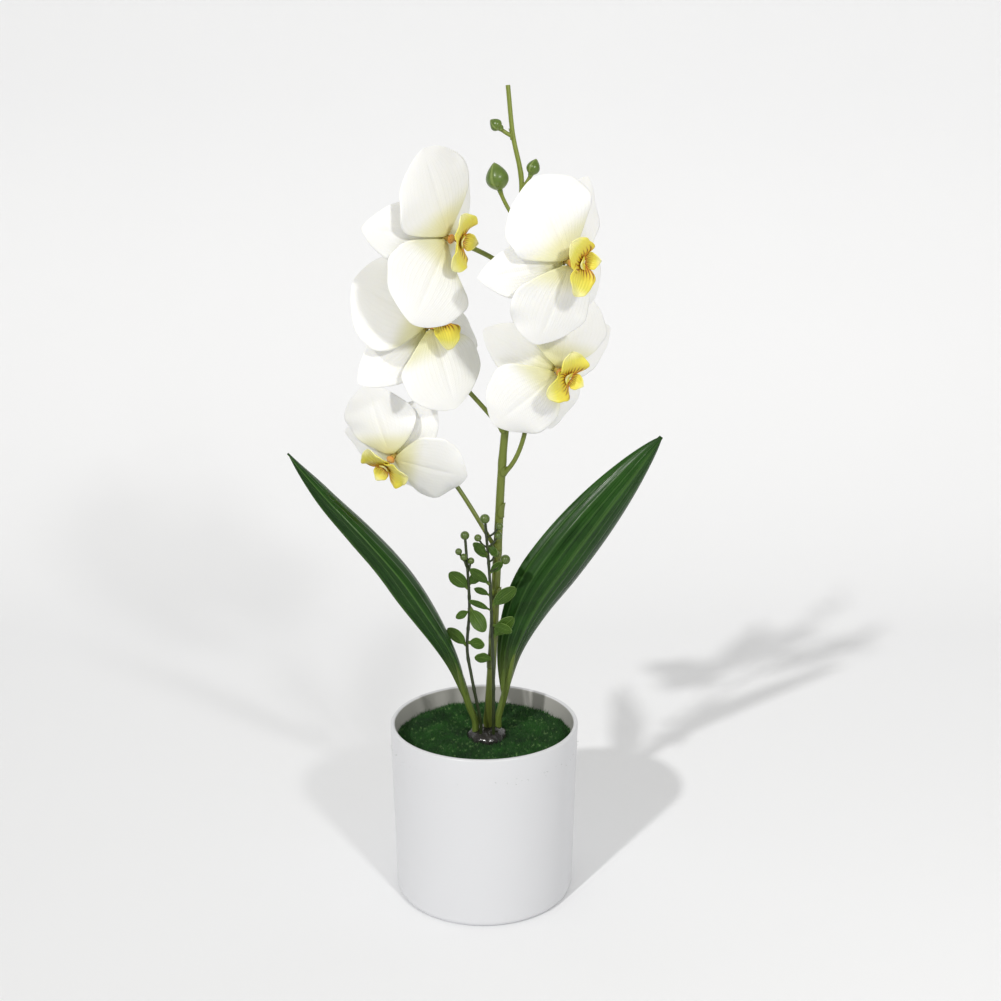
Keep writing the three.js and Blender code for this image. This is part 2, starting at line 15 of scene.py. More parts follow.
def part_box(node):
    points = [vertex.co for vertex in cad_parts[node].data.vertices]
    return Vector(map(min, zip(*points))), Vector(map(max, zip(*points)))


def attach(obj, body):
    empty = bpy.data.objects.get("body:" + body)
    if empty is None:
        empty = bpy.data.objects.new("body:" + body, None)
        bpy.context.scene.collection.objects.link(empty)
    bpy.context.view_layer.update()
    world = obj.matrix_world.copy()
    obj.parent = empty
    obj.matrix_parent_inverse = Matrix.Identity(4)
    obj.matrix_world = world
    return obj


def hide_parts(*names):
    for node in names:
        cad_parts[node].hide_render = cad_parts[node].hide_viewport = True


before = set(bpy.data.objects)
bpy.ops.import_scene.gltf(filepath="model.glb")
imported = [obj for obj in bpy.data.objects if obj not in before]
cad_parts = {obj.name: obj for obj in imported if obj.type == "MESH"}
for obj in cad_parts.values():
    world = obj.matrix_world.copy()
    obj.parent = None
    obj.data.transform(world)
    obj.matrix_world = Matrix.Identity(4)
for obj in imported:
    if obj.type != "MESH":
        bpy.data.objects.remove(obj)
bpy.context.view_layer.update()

MM = 0.001
UP = Vector((0, 0, 1))


# ------------------------------------------------------------------ small sums
def clamp(x, low=0.0, high=1.0):
    return max(low, min(high, x))


def mix(a, b, t):
    return a + (b - a) * t


def ease(x, low, high):
    t = clamp((x - low) / (high - low))
    return t * t * (3 - 2 * t)


def corners(node):
    """A solid's lowest and highest corner, in millimetres."""
    low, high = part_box(node)
    return low / MM, high / MM


def middle(node):
    low, high = corners(node)
    return (low + high) / 2


# ------------------------------------------------------------------ mesh making
def finish(mesh, name, slot, *nodes):
    """Puts a finished mesh in the scene as a piece that stands for its solids."""
    piece = bpy.data.objects.new(name, mesh)
    bpy.context.scene.collection.objects.link(piece)
    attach(piece, "root")
    if nodes:
        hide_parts(*nodes)
    return piece


def mesh_from(name, shells, material):
    """One smooth mesh from closed shells; each is (points, faces, surface coordinates)."""
    points, faces, surface = [], [], []
    for shell_points, shell_faces, shell_surface in shells:
        start = len(points)
        points += [p * MM for p in shell_points]
        faces += [[start + i for i in face] for face in shell_faces]
        surface += shell_surface
    mesh = bpy.data.meshes.new(name)
    mesh.from_pydata(points, [], faces)
    layer = mesh.uv_layers.new(name="surface")
    for loop in mesh.loops:
        layer.data[loop.index].uv = surface[loop.vertex_index]
    made = bmesh.new()
    made.from_mesh(mesh)
    bmesh.ops.recalc_face_normals(made, faces=made.faces)
    made.to_mesh(mesh)
    made.free()
    mesh.shade_smooth()
    mesh.materials.append(material)
    return mesh


def sheet(surface, along, across, thickness, pace=1.0):
    """A closed sheet over surface(t, v), with thickness(t, v), t along it and v across it.

    A pace above 1 sets the rows closer together towards the far end.
    """
    points, coordinates = [], []
    step = 2e-3
    rows = []
    for i in range(along + 1):
        for j in range(across + 1):
            t, v = 1 - (1 - i / along) ** pace, 2 * j / across - 1
            inner = clamp(t, 2 * step, 1 - 2 * step)
            forward = surface(inner + step, v) - surface(inner - step, v)
            sideways = surface(t, v + step) - surface(t, v - step)
            rows.append((t, v, surface(t, v), forward.cross(sideways).normalized()))
    for side in (0.5, -0.5):
        for t, v, point, normal in rows:
            points.append(point + normal * (side * thickness(t, v)))
            coordinates.append((v / 2 + 0.5, t))
    row = across + 1
    back = row * (along + 1)
    faces = []
    for i in range(along):
        for j in range(across):
            k = i * row + j
            faces.append((k, k + 1, k + row + 1, k + row))
            faces.append((back + k, back + k + row, back + k + row + 1, back + k + 1))
        k = i * row
        faces.append((k, k + row, back + k + row, back + k))
        k += across
        faces.append((k, back + k, back + k + row, k + row))
    for j in range(across):
        k = along * row + j
        faces.append((j, back + j, back + j + 1, j + 1))
        faces.append((k, k + 1, back + k + 1, back + k))
    return points, faces, coordinates


def turned(profile, facets, centre=(0, 0)):
    """A closed shape turned about +Z from (radius, height) pairs that start and end on the axis."""
    points, coordinates, faces = [], [], []
    rings = []
    for n, (radius, height) in enumerate(profile):
        ring = []
        for j in range(facets if radius > 1e-6 else 1):
            a = 2 * math.pi * j / facets
            ring.append(len(points))
            points.append(
                Vector((centre[0] + radius * math.cos(a), centre[1] + radius * math.sin(a), height))
            )
            coordinates.append((j / facets, n / (len(profile) - 1)))
        rings.append(ring)
    for low, high in zip(rings, rings[1:]):
        for j in range(facets):
            k = (j + 1) % facets
            if len(low) == 1:
                faces.append((low[0], high[k], high[j]))
            elif len(high) == 1:
                faces.append((low[j], low[k], high[0]))
            else:
                faces.append((low[j], low[k], high[k], high[j]))
    return points, faces, coordinates


def tube_shell(at, radius, sides, steps):
    """A closed round tube along a path, with rounded ends."""
    points, faces, coordinates = [], [], []
    end_size, end_bulge = 0.55, 0.4
    rings = [0.0] + [i / steps for i in range(steps + 1)] + [1.0]
    start = (at(0.02) - at(0)).normalized()
    normal = start.orthogonal().normalized()
    previous = start
    for n, t in enumerate(rings):
        low, high = clamp(t - 0.01), clamp(t + 0.01)
        tangent = (at(high) - at(low)).normalized()
        turn = previous.rotation_difference(tangent)
        normal = (turn @ normal).normalized()
        previous = tangent
        other = tangent.cross(normal)
        closing = n in (0, len(rings) - 1)
        r = radius(t) * (end_size if closing else 1)
        shift = Vector()
        if closing:
            shift = tangent * (radius(t) * end_bulge * (-1 if n == 0 else 1))
        for j in range(sides):
            a = 2 * math.pi * j / sides
            points.append(at(t) + shift + normal * (r * math.cos(a)) + other * (r * math.sin(a)))
            coordinates.append((j / sides, t))
    for i in range(len(rings) - 1):
        for j in range(sides):
            k = (j + 1) % sides
            faces.append((i * sides + j, i * sides + k, (i + 1) * sides + k, (i + 1) * sides + j))
    faces.append(tuple(range(sides)))
    last = (len(rings) - 1) * sides
    faces.append(tuple(last + j for j in range(sides)))
    return points, faces, coordinates


def arc(x, z, radius, start, end, steps):
    """Points of a round corner for a turned profile; its angles are in degrees."""
    angles = [math.radians(mix(start, end, i / steps)) for i in range(steps + 1)]
    return [(x + radius * math.cos(a), z + radius * math.sin(a)) for a in angles]


def placed(shell, matrix):
    """A copy of a shell, moved and turned."""
    points, faces, coordinates = shell
    return [matrix @ p for p in points], faces, coordinates


# ------------------------------------------------------------------ paths
def spline(points):
    """A centripetal curve through points, as a function of t from 0 to 1 by length."""
    pts = [Vector(p) for p in points]
    first = pts[0] * 2 - pts[1]
    last = pts[-1] * 2 - pts[-2]
    pts = [first, *pts, last]
    line = []
    for a, b, c, d in zip(pts, pts[1:], pts[2:], pts[3:]):
        knots = [0.0]
        for p, q in ((a, b), (b, c), (c, d)):
            knots.append(knots[-1] + max((q - p).length, 1e-4) ** 0.5)
        k0, k1, k2, k3 = knots
        for i in range(12):
            t = mix(k1, k2, i / 12)
            a1 = a * ((k1 - t) / (k1 - k0)) + b * ((t - k0) / (k1 - k0))
            a2 = b * ((k2 - t) / (k2 - k1)) + c * ((t - k1) / (k2 - k1))
            a3 = c * ((k3 - t) / (k3 - k2)) + d * ((t - k2) / (k3 - k2))
            b1 = a1 * ((k2 - t) / (k2 - k0)) + a2 * ((t - k0) / (k2 - k0))
            b2 = a2 * ((k3 - t) / (k3 - k1)) + a3 * ((t - k1) / (k3 - k1))
            line.append(b1 * ((k2 - t) / (k2 - k1)) + b2 * ((t - k1) / (k2 - k1)))
    line.append(pts[-2])
    return by_length(line)


def bezier(a, b, c, d, steps=24):
    """Points from a to d on a curve that sets off towards b and comes in from c."""
    line = []
    for i in range(steps + 1):
        t = i / steps
        s = 1 - t
        line.append(a * s**3 + b * (3 * s * s * t) + c * (3 * s * t * t) + d * t**3)
    return line


def by_length(line):
    """The point at a share of a line's length."""
    reach = [0.0]
    for p, q in zip(line, line[1:]):
        reach.append(reach[-1] + (q - p).length)

    def at(t):
        want = clamp(t) * reach[-1]
        low, high = 0, len(reach) - 1
        while high - low > 1:
            half = (low + high) // 2
            if reach[half] <= want:
                low = half
            else:
                high = half
        span = reach[high] - reach[low]
        return line[low].lerp(line[high], (want - reach[low]) / span if span else 0)

    at.length = reach[-1]
    return at


# ------------------------------------------------------------------ material making
class Finish:
    """A material whose colour, roughness and relief are built node by node."""

    def __init__(self, name, **settings):
        self.material = bpy.data.materials.new(name)
        self.material.use_nodes = True
        self.nodes = self.material.node_tree.nodes
        self.links = self.material.node_tree.links
        self.shader = self.nodes["Principled BSDF"]
        for socket, value in settings.items():
            self.shader.inputs[socket.replace("_", " ")].default_value = value
        self.place = self.nodes.new("ShaderNodeTexCoord").outputs["Object"]

    def set(self, socket, source):
        self.links.new(source, self.shader.inputs[socket])

    def add(self, kind, inputs=None, **settings):
        node = self.nodes.new(kind)
        for key, value in settings.items():
            setattr(node, key, value)
        for key, value in (inputs or {}).items():
            if isinstance(value, bpy.types.NodeSocket):
                self.links.new(value, node.inputs[key])
            else:
                node.inputs[key].default_value = value
        return node

    def sums(self, operation, a, b=0.5, c=0.5):
        return self.add("ShaderNodeMath", {0: a, 1: b, 2: c}, operation=operation).outputs[0]

    def surface(self):
        """Across (0 to 1) and along (0 to 1) a piece, from its own surface coordinates."""
        uv = self.add("ShaderNodeUVMap", uv_map="surface").outputs["UV"]
        split = self.add("ShaderNodeSeparateXYZ", {"Vector": uv})
        return split.outputs["X"], split.outputs["Y"]

    def noise(self, scale, detail=4.0, place=None, rough=0.55, squeeze=None):
        vector = place or self.place
        if squeeze:
            vector = self.add("ShaderNodeMapping", {"Vector": vector, "Scale": squeeze}).outputs[0]
        inputs = {"Vector": vector, "Scale": scale, "Detail": detail, "Roughness": rough}
        return self.add("ShaderNodeTexNoise", inputs).outputs["Fac"]

    def ramp(self, factor, *stops, smooth=False):
        node = self.add("ShaderNodeValToRGB", {"Fac": factor})
        band = node.color_ramp
        if smooth:
            band.interpolation = "EASE"
        while len(band.elements) < len(stops):
            band.elements.new(0.5)
        for element, (where, colour) in zip(band.elements, stops):
            element.position = where
            if isinstance(colour, (int, float)):
                colour = (colour, colour, colour)
            element.color = (*colour, 1)
        return node.outputs["Color"]

    def blend(self, factor, a, b, how="MIX"):
        node = self.add("ShaderNodeMix", data_type="RGBA", blend_type=how)
        for slot, value in ((0, factor), (6, a), (7, b)):
            if isinstance(value, bpy.types.NodeSocket):
                self.links.new(value, node.inputs[slot])
            elif slot:
                node.inputs[slot].default_value = (*value, 1)
            else:
                node.inputs[slot].default_value = value
        return node.outputs[2]

    def relief(self, height, depth, strength=1.0, under=None):
        inputs = {"Height": height, "Distance": depth * MM, "Strength": strength}
        if under is not None:
            inputs["Normal"] = under
        return self.add("ShaderNodeBump", inputs).outputs["Normal"]


def petal_finish():
    """Stiffened white cloth: fanned veins, a green-yellow flush at the claw and a fine weave."""
    f = Finish("white_petal", Roughness=0.62, Subsurface_Weight=0.15, Subsurface_Scale=0.0015)
    f.shader.inputs["Subsurface Radius"].default_value = (1.0, 0.9, 0.6)
    f.shader.inputs["Sheen Weight"].default_value = 0.12
    f.shader.inputs["Sheen Roughness"].default_value = 0.5
    across, along = f.surface()
    waver = f.noise(55, 3)
    lane = f.sums("MULTIPLY_ADD", waver, 0.035, across)
    wave = f.sums("SINE", f.sums("MULTIPLY", lane, 118.0))
    vein = f.sums("POWER", f.sums("MULTIPLY_ADD", wave, 0.5, 0.5), 5.0)
    fade = f.ramp(along, (0.0, 1.0), (0.55, 0.6), (0.95, 0.1))
    vein = f.sums("MULTIPLY", vein, fade)
    white = f.blend(f.noise(22, 3), (0.90, 0.90, 0.875), (0.955, 0.955, 0.935))
    veined = f.blend(f.sums("MULTIPLY", vein, 0.12), white, (0.78, 0.79, 0.68))
    reach = f.sums("MULTIPLY_ADD", f.noise(30, 2), 0.10, along)
    flush = f.ramp(reach, (0.03, 1.0), (0.18, 0.62), (0.44, 0.0), smooth=True)
    middle_lane = f.sums("ABSOLUTE", f.sums("SUBTRACT", across, 0.5))
    band = f.ramp(middle_lane, (0.0, 1.0), (0.05, 0.5), (0.22, 0.0), smooth=True)
    streak = f.sums("MULTIPLY", band, f.ramp(along, (0.1, 0.55), (0.55, 0.0), smooth=True))
    tint = f.sums("MAXIMUM", f.sums("MULTIPLY", flush, 0.85), f.sums("MULTIPLY", streak, 0.35))
    f.set("Base Color", f.blend(tint, veined, (0.66, 0.64, 0.16)))
    weave = f.add("ShaderNodeTexWave", {"Vector": f.place, "Scale": 480.0, "Distortion": 1.5})
    weave.bands_direction = "DIAGONAL"
    soft = f.relief(f.noise(70, 4), 0.5, 0.35)
    ribbed = f.relief(vein, 0.09, 0.7, soft)
    f.set("Normal", f.relief(weave.outputs["Fac"], 0.05, 0.35, ribbed))
    f.set("Roughness", f.ramp(f.noise(90, 3), (0.3, 0.54), (0.8, 0.72)))
    return f.material


def lip_finish():
    """The lip's painted cloth: deep yellow at the root with red-brown lines, paler to the tips."""
    f = Finish("painted_lip", Roughness=0.45, Subsurface_Weight=0.12, Subsurface_Scale=0.0012)
    f.shader.inputs["Subsurface Radius"].default_value = (1.0, 0.7, 0.3)
    across, along = f.surface()
    uneven = f.sums("MULTIPLY_ADD", f.noise(120, 4), 0.16, f.sums("SUBTRACT", along, 0.08))
    body = f.ramp(
        uneven,
        (0.0, (0.46, 0.07, 0.012)),
        (0.16, (0.72, 0.27, 0.02)),
        (0.34, (0.72, 0.57, 0.035)),
        (0.72, (0.77, 0.71, 0.10)),
        (1.0, (0.88, 0.85, 0.42)),
    )
    lane = f.sums("MULTIPLY_ADD", f.noise(160, 2), 0.10, across)
    wave = f.sums("SINE", f.sums("MULTIPLY", lane, 52.0))
    line = f.ramp(f.sums("MULTIPLY_ADD", wave, 0.5, 0.5), (0.62, 0.0), (0.84, 1.0))
    near = f.ramp(uneven, (0.02, 1.0), (0.30, 0.9), (0.52, 0.0), smooth=True)
    marks = f.sums("MULTIPLY", line, near)
    spots = f.add("ShaderNodeTexVoronoi", {"Vector": f.place, "Scale": 900.0})
    dots = f.ramp(spots.outputs["Distance"], (0.16, 1.0), (0.26, 0.0))
    dotted = f.sums("MULTIPLY", dots, f.ramp(uneven, (0.1, 1.0), (0.5, 0.0)))
    dark = f.sums("MAXIMUM", marks, f.sums("MULTIPLY", dotted, 0.8))
    f.set("Base Color", f.blend(dark, body, (0.20, 0.018, 0.010)))
    ribs = f.relief(f.sums("MULTIPLY_ADD", wave, 0.5, 0.5), 0.12, 0.7)
    f.set("Normal", f.relief(f.noise(260, 4), 0.15, 0.5, ribs))
    f.set("Roughness", f.ramp(f.noise(140, 3), (0.3, 0.34), (0.8, 0.58)))
    return f.material


def column_finish():
    """The column's painted plastic: olive foot, orange neck, cream cap and dark specks."""
    f = Finish("speckled_column", Roughness=0.4, Subsurface_Weight=0.1, Subsurface_Scale=0.001)
    _, along = f.surface()
    body = f.ramp(
        along,
        (0.0, (0.42, 0.38, 0.07)),
        (0.55, (0.70, 0.30, 0.05)),
        (0.8, (0.78, 0.50, 0.16)),
        (1.0, (0.86, 0.76, 0.44)),
    )
    spots = f.add("ShaderNodeTexVoronoi", {"Vector": f.place, "Scale": 1100.0})
    dots = f.ramp(spots.outputs["Distance"], (0.2, 1.0), (0.3, 0.0))
    f.set("Base Color", f.blend(f.sums("MULTIPLY", dots, 0.75), body, (0.30, 0.03, 0.015)))
    f.set("Normal", f.relief(f.noise(500, 3), 0.1, 0.5))
    f.set("Roughness", f.ramp(f.noise(200, 2), (0.3, 0.32), (0.8, 0.5)))
    return f.material


def stem_finish():
    """Olive stem plastic with long streaks, paler and yellower towards the top."""
    f = Finish("olive_stem", Roughness=0.42)
    height = f.add("ShaderNodeSeparateXYZ", {"Vector": f.place}).outputs["Z"]
    streaks = f.noise(140, 5, squeeze=(1, 1, 0.12))
    rise = f.add(
        "ShaderNodeMapRange",
        {"Value": height, "From Min": 0.08, "From Max": 0.42, "To Min": 0.0, "To Max": 1.0},
    ).outputs["Result"]
    low = f.blend(streaks, (0.050, 0.072, 0.008), (0.115, 0.150, 0.018))
    high = f.blend(streaks, (0.13, 0.17, 0.018), (0.25, 0.30, 0.045))
    brown = f.ramp(f.noise(60, 6, rough=0.7), (0.60, 0.0), (0.74, 0.55))
    green = f.blend(rise, low, high)
    f.set("Base Color", f.blend(brown, green, (0.14, 0.095, 0.03)))
    f.set("Normal", f.relief(streaks, 0.25, 0.7, f.relief(f.noise(700, 3), 0.05, 0.6)))
    f.set("Roughness", f.ramp(f.noise(90, 4), (0.3, 0.30), (0.75, 0.55)))
    return f.material


def bud_finish():
    """Glossy green plastic, paler at both ends and along the three seams."""
    f = Finish("green_bud", Roughness=0.32, Coat_Weight=0.25, Coat_Roughness=0.25)
    across, along = f.surface()
    streaks = f.noise(110, 4, squeeze=(1, 1, 0.4))
    body = f.ramp(
        along,
        (0.0, (0.18, 0.24, 0.04)),
        (0.35, (0.075, 0.135, 0.013)),
        (0.75, (0.060, 0.110, 0.010)),
        (1.0, (0.13, 0.18, 0.03)),
    )
    pale = f.blend(f.sums("MULTIPLY", streaks, 0.35), body, (0.20, 0.29, 0.05))
    wave = f.sums("COSINE", f.sums("MULTIPLY", across, 3 * 2 * math.pi))
    seam = f.ramp(f.sums("MULTIPLY_ADD", wave, 0.5, 0.5), (0.93, 0.0), (1.0, 0.7))
    f.set("Base Color", f.blend(seam, pale, (0.26, 0.34, 0.09)))
    f.set("Normal", f.relief(streaks, 0.2, 0.6))
    f.set("Roughness", f.ramp(f.noise(200, 3), (0.3, 0.24), (0.8, 0.45)))
    return f.material


def leaf_finish(name, dark, light, rib, lanes, gloss):
    """Moulded leaf plastic: long veins, glossy streaks, a paler midrib and a mottled green."""
    f = Finish(name, Roughness=gloss, Specular_IOR_Level=0.2)
    across, along = f.surface()
    lane = f.sums("MULTIPLY_ADD", f.noise(25, 3), 0.02, across)
    wave = f.sums("MULTIPLY_ADD", f.sums("SINE", f.sums("MULTIPLY", lane, lanes)), 0.5, 0.5)
    drawn = {"X": f.sums("MULTIPLY", across, 30.0), "Y": f.sums("MULTIPLY", along, 3.0)}
    streaks = f.noise(1.0, 6, place=f.add("ShaderNodeCombineXYZ", drawn).outputs[0], rough=0.62)
    patches = f.noise(38, 6, rough=0.65)
    mottle = f.sums("MULTIPLY_ADD", streaks, 0.5, f.sums("MULTIPLY", patches, 0.5))
    green = f.blend(f.ramp(mottle, (0.36, 0.0), (0.64, 1.0)), dark, light)
    line = f.sums("POWER", wave, 9.0)
    veined = f.blend(f.sums("MULTIPLY", line, 0.3), green, rib)
    centre = f.sums("ABSOLUTE", f.sums("SUBTRACT", across, 0.5))
    midrib = f.ramp(centre, (0.004, 1.0), (0.022, 0.0), smooth=True)
    edge = f.ramp(centre, (0.475, 0.0), (0.5, 0.6))
    ribbed = f.blend(f.sums("MULTIPLY", midrib, 0.5), veined, rib)
    root = f.ramp(along, (0.0, 0.85), (0.21, 0.0), smooth=True)
    f.set("Base Color", f.blend(root, f.blend(edge, ribbed, rib), (0.13, 0.18, 0.035)))
    veins = f.relief(line, 0.25, 0.8, f.relief(f.noise(45, 4), 0.8, 0.3))
    drawn_veins = f.relief(streaks, 0.2, 0.5, veins)
    f.set("Normal", f.relief(f.noise(900, 2), 0.04, 0.5, drawn_veins))
    f.set("Roughness", f.ramp(streaks, (0.36, gloss - 0.12), (0.64, gloss + 0.16)))
    return f.material


def berry_finish():
    """Olive green, blotched with a darker one."""
    f = Finish("sprig_berry", Roughness=0.38, Coat_Weight=0.2, Coat_Roughness=0.25)
    green = f.blend(f.noise(240, 4), (0.035, 0.070, 0.008), (0.115, 0.170, 0.028))
    f.set("Base Color", green)
    f.set("Normal", f.relief(f.noise(600, 3), 0.12, 0.6))
    f.set("Roughness", f.ramp(f.noise(300, 2), (0.3, 0.28), (0.8, 0.5)))
    return f.material


def twig_finish():
    """Nearly black green plastic with lengthwise streaks."""
    f = Finish("sprig_twig", Roughness=0.4)
    streaks = f.noise(200, 4, squeeze=(1, 1, 0.15))
    f.set("Base Color", f.blend(streaks, (0.006, 0.010, 0.004), (0.035, 0.055, 0.010)))
    f.set("Normal", f.relief(streaks, 0.15, 0.7))
    f.set("Roughness", f.ramp(f.noise(150, 3), (0.3, 0.3), (0.8, 0.55)))
    return f.material


def moss_finish(name, dark, light):
    """Dyed flock: each fibre has its own green, with a few bleached ones."""
    f = Finish(name, Roughness=0.9)
    f.shader.inputs["Sheen Weight"].default_value = 0.1
    f.shader.inputs["Sheen Roughness"].default_value = 0.5
    clumps = f.ramp(f.noise(95, 5, rough=0.7), (0.35, 0.0), (0.66, 1.0))
    green = f.blend(clumps, dark, light)
    own = f.add("ShaderNodeTexWhiteNoise", noise_dimensions="3D")
    cell = f.add("ShaderNodeVectorMath", {0: f.place, 1: (0.0011,) * 3}, operation="SNAP")
    f.links.new(cell.outputs[0], own.inputs["Vector"])
    rare = f.ramp(own.outputs["Value"], (0.935, 0.0), (0.99, 1.0))
    f.set("Base Color", f.blend(f.sums("MULTIPLY", rare, 0.8), green, (0.26, 0.45, 0.16)))
    f.set("Normal", f.relief(f.noise(1400, 4), 0.3, 0.8))
    return f.material


# Inside this radius and above this height, in millimetres, the pot's inner wall is greyed as painted
# shade.
PAINTED_SHADE_REACH, PAINTED_SHADE_FROM = 47.7, 60


def pot_finish():
    """White satin plastic with fine handling marks, and painted shade greying the wall above the moss.
    """
    f = Finish("white_pot", Roughness=0.4, Coat_Weight=0.12, Coat_Roughness=0.3)
    cloud = f.noise(9, 4)
    white = f.blend(cloud, (0.625, 0.632, 0.655), (0.66, 0.667, 0.69))
    where = f.add("ShaderNodeSeparateXYZ", {"Vector": f.place})
    x, y, z = (where.outputs[axis] for axis in "XYZ")
    # painted shade: a mask of the inner wall above the moss, which is greyed in place of its shadow
    squares = f.sums("MULTIPLY_ADD", x, x, f.sums("MULTIPLY", y, y))
    inner = f.sums("LESS_THAN", f.sums("SQRT", squares), PAINTED_SHADE_REACH * MM)
    inside = f.sums("MULTIPLY", inner, f.sums("GREATER_THAN", z, PAINTED_SHADE_FROM * MM))
    scuffs = f.noise(60, 8, rough=0.75, squeeze=(1, 1, 3))
    worn = f.ramp(scuffs, (0.62, 0.0), (0.74, 0.35))
    scuffed = f.blend(worn, white, (0.60, 0.60, 0.60))
    # painted shade: a flat grey on the inner wall above the moss
    f.set("Base Color", f.blend(inside, scuffed, (0.45, 0.445, 0.42)))
    rings = f.add("ShaderNodeTexWave", {"Vector": f.place, "Scale": 160.0, "Distortion": 0.6})
    rings.bands_direction = "Z"
    fine = f.relief(f.noise(1500, 3), 0.03, 0.5)
    f.set("Normal", f.relief(rings.outputs["Fac"], 0.02, 0.25, f.relief(cloud, 0.6, 0.2, fine)))
    f.set("Roughness", f.ramp(scuffs, (0.3, 0.34), (0.7, 0.50)))
    return f.material


def plug_finish():
    """Dark set glue, wet looking, with a skin that is silvery in places."""
    f = Finish("set_glue", Roughness=0.2, Coat_Weight=0.3, Coat_Roughness=0.05)
    f.shader.inputs["Specular IOR Level"].default_value = 0.3
    swirl = f.noise(160, 5, rough=0.6)
    f.set("Base Color", f.ramp(swirl, (0.3, (0.005, 0.005, 0.006)), (0.7, (0.030, 0.027, 0.024))))
    f.set("Normal", f.relief(swirl, 0.8, 0.7, f.relief(f.noise(600, 3), 0.1, 0.4)))
    f.set("Roughness", f.ramp(f.noise(220, 3), (0.35, 0.08), (0.7, 0.34)))
    return f.material


def foam_finish():
    """Pale open-celled planting foam."""
    f = Finish("planting_foam", Roughness=0.95)
    cells = f.add("ShaderNodeTexVoronoi", {"Vector": f.place, "Scale": 420.0})
    tone = f.ramp(cells.outputs["Distance"], (0.0, (0.34, 0.37, 0.26)), (0.7, (0.58, 0.60, 0.47)))
    f.set("Base Color", tone)
    f.set("Normal", f.relief(cells.outputs["Distance"], 0.6, 0.9))
    return f.material


finishes = {
    "petal": petal_finish(),
    "lip": lip_finish(),
    "column": column_finish(),
    "stem": stem_finish(),
    "bud": bud_finish(),
    "leaf": leaf_finish(
        "strap_leaf", (0.004, 0.022, 0.002), (0.016, 0.070, 0.005), (0.07, 0.16, 0.03), 50, 0.30
    ),
    "spoon": leaf_finish(
        "sprig_leaf", (0.022, 0.060, 0.006), (0.070, 0.140, 0.016), (0.22, 0.34, 0.09), 40, 0.36
    ),
    "berry": berry_finish(),
    "twig": twig_finish(),
    "moss": moss_finish("moss_fibre", (0.004, 0.036, 0.004), (0.020, 0.122, 0.010)),
    "moss_bed": moss_finish("moss_bed", (0.008, 0.035, 0.008), (0.020, 0.085, 0.014)),
    "pot": pot_finish(),
    "plug": plug_finish(),
    "foam": foam_finish(),
}


# ------------------------------------------------------------------ geometry node trees
def new_tree(name, inputs):
    """A node tree with named inputs for its sizes, and its entry's outputs."""
    tree = bpy.data.node_groups.new(name, "GeometryNodeTree")
    tree.interface.new_socket("Geometry", in_out="INPUT", socket_type="NodeSocketGeometry")
    for label, kind in inputs.items():
        tree.interface.new_socket(label, in_out="INPUT", socket_type=f"NodeSocket{kind}")
    tree.interface.new_socket("Geometry", in_out="OUTPUT", socket_type="NodeSocketGeometry")
    entry = tree.nodes.new("NodeGroupInput").outputs
    return tree, entry


def tree_node(tree, kind, inputs=None, **settings):
    node = tree.nodes.new(kind)
    for key, value in settings.items():
        setattr(node, key, value)
    for key, value in (inputs or {}).items():
        if isinstance(value, bpy.types.NodeSocket):
            tree.links.new(value, node.inputs[key])
        else:
            node.inputs[key].default_value = value
    return node


def tree_sums(tree, operation, a, b=0.5, c=0.5):
    return tree_node(tree, "ShaderNodeMath", {0: a, 1: b, 2: c}, operation=operation).outputs[0]


def end_tree(tree, geometry, material):
    """Makes a tree's instances real and gives them a material."""
    real = tree_node(tree, "GeometryNodeRealizeInstances", {"Geometry": geometry})
    inputs = {"Geometry": real.outputs[0], "Material": material}
    painted = tree_node(tree, "GeometryNodeSetMaterial", inputs)
    leave = tree.nodes.new("NodeGroupOutput")
    tree.links.new(painted.outputs[0], leave.inputs[0])


def run_tree(source, tree, values, name):
    """The plain mesh that a tree makes from a source object, which is then removed."""
    bpy.context.scene.collection.objects.link(source)
    modifier = source.modifiers.new(tree.name, "NODES")
    modifier.node_group = tree
    for item in tree.interface.items_tree:
        if item.in_out == "INPUT" and item.name in values:
            modifier[item.identifier] = values[item.name]
    graph = bpy.context.evaluated_depsgraph_get()
    made = bpy.data.meshes.new_from_object(source.evaluated_get(graph), depsgraph=graph)
    made.name = name
    source.modifiers.remove(modifier)
    bpy.data.objects.remove(source)
    return made


JOINT_SHARPNESS = 24.0


def stalk_tree(material):
    """A round stalk along a curve: its radius comes from the curve and swells at its joints."""
    tree, entry = new_tree(
        "stalk_along_path", {"Sides": "Int", "Joint spacing": "Float", "Joint swell": "Float"}
    )
    along = tree_node(tree, "GeometryNodeSplineParameter").outputs["Length"]
    share = tree_sums(tree, "DIVIDE", along, entry["Joint spacing"])
    wave = tree_sums(tree, "COSINE", tree_sums(tree, "MULTIPLY", share, 2 * math.pi))
    lifted = tree_sums(tree, "MULTIPLY_ADD", wave, 0.5, 0.5)
    sharp = tree_sums(tree, "POWER", lifted, JOINT_SHARPNESS)
    swell = tree_sums(tree, "MULTIPLY_ADD", sharp, entry["Joint swell"], 1.0)
    own = tree_node(tree, "GeometryNodeInputRadius").outputs[0]
    wide = tree_sums(tree, "MULTIPLY", own, swell)
    ring = tree_node(
        tree,
        "GeometryNodeCurvePrimitiveCircle",
        {"Resolution": entry["Sides"], "Radius": 1.0},
        mode="RADIUS",
    )
    inputs = {"Curve": entry["Geometry"], "Radius": wide}
    sized = tree_node(tree, "GeometryNodeSetCurveRadius", inputs)
    skin_inputs = {"Curve": sized.outputs[0], "Profile Curve": ring.outputs[0], "Fill Caps": True}
    skin = tree_node(tree, "GeometryNodeCurveToMesh", skin_inputs)
    tree.links.new(wide, skin.inputs["Scale"])
    end_tree(tree, skin.outputs[0], material)
    return tree


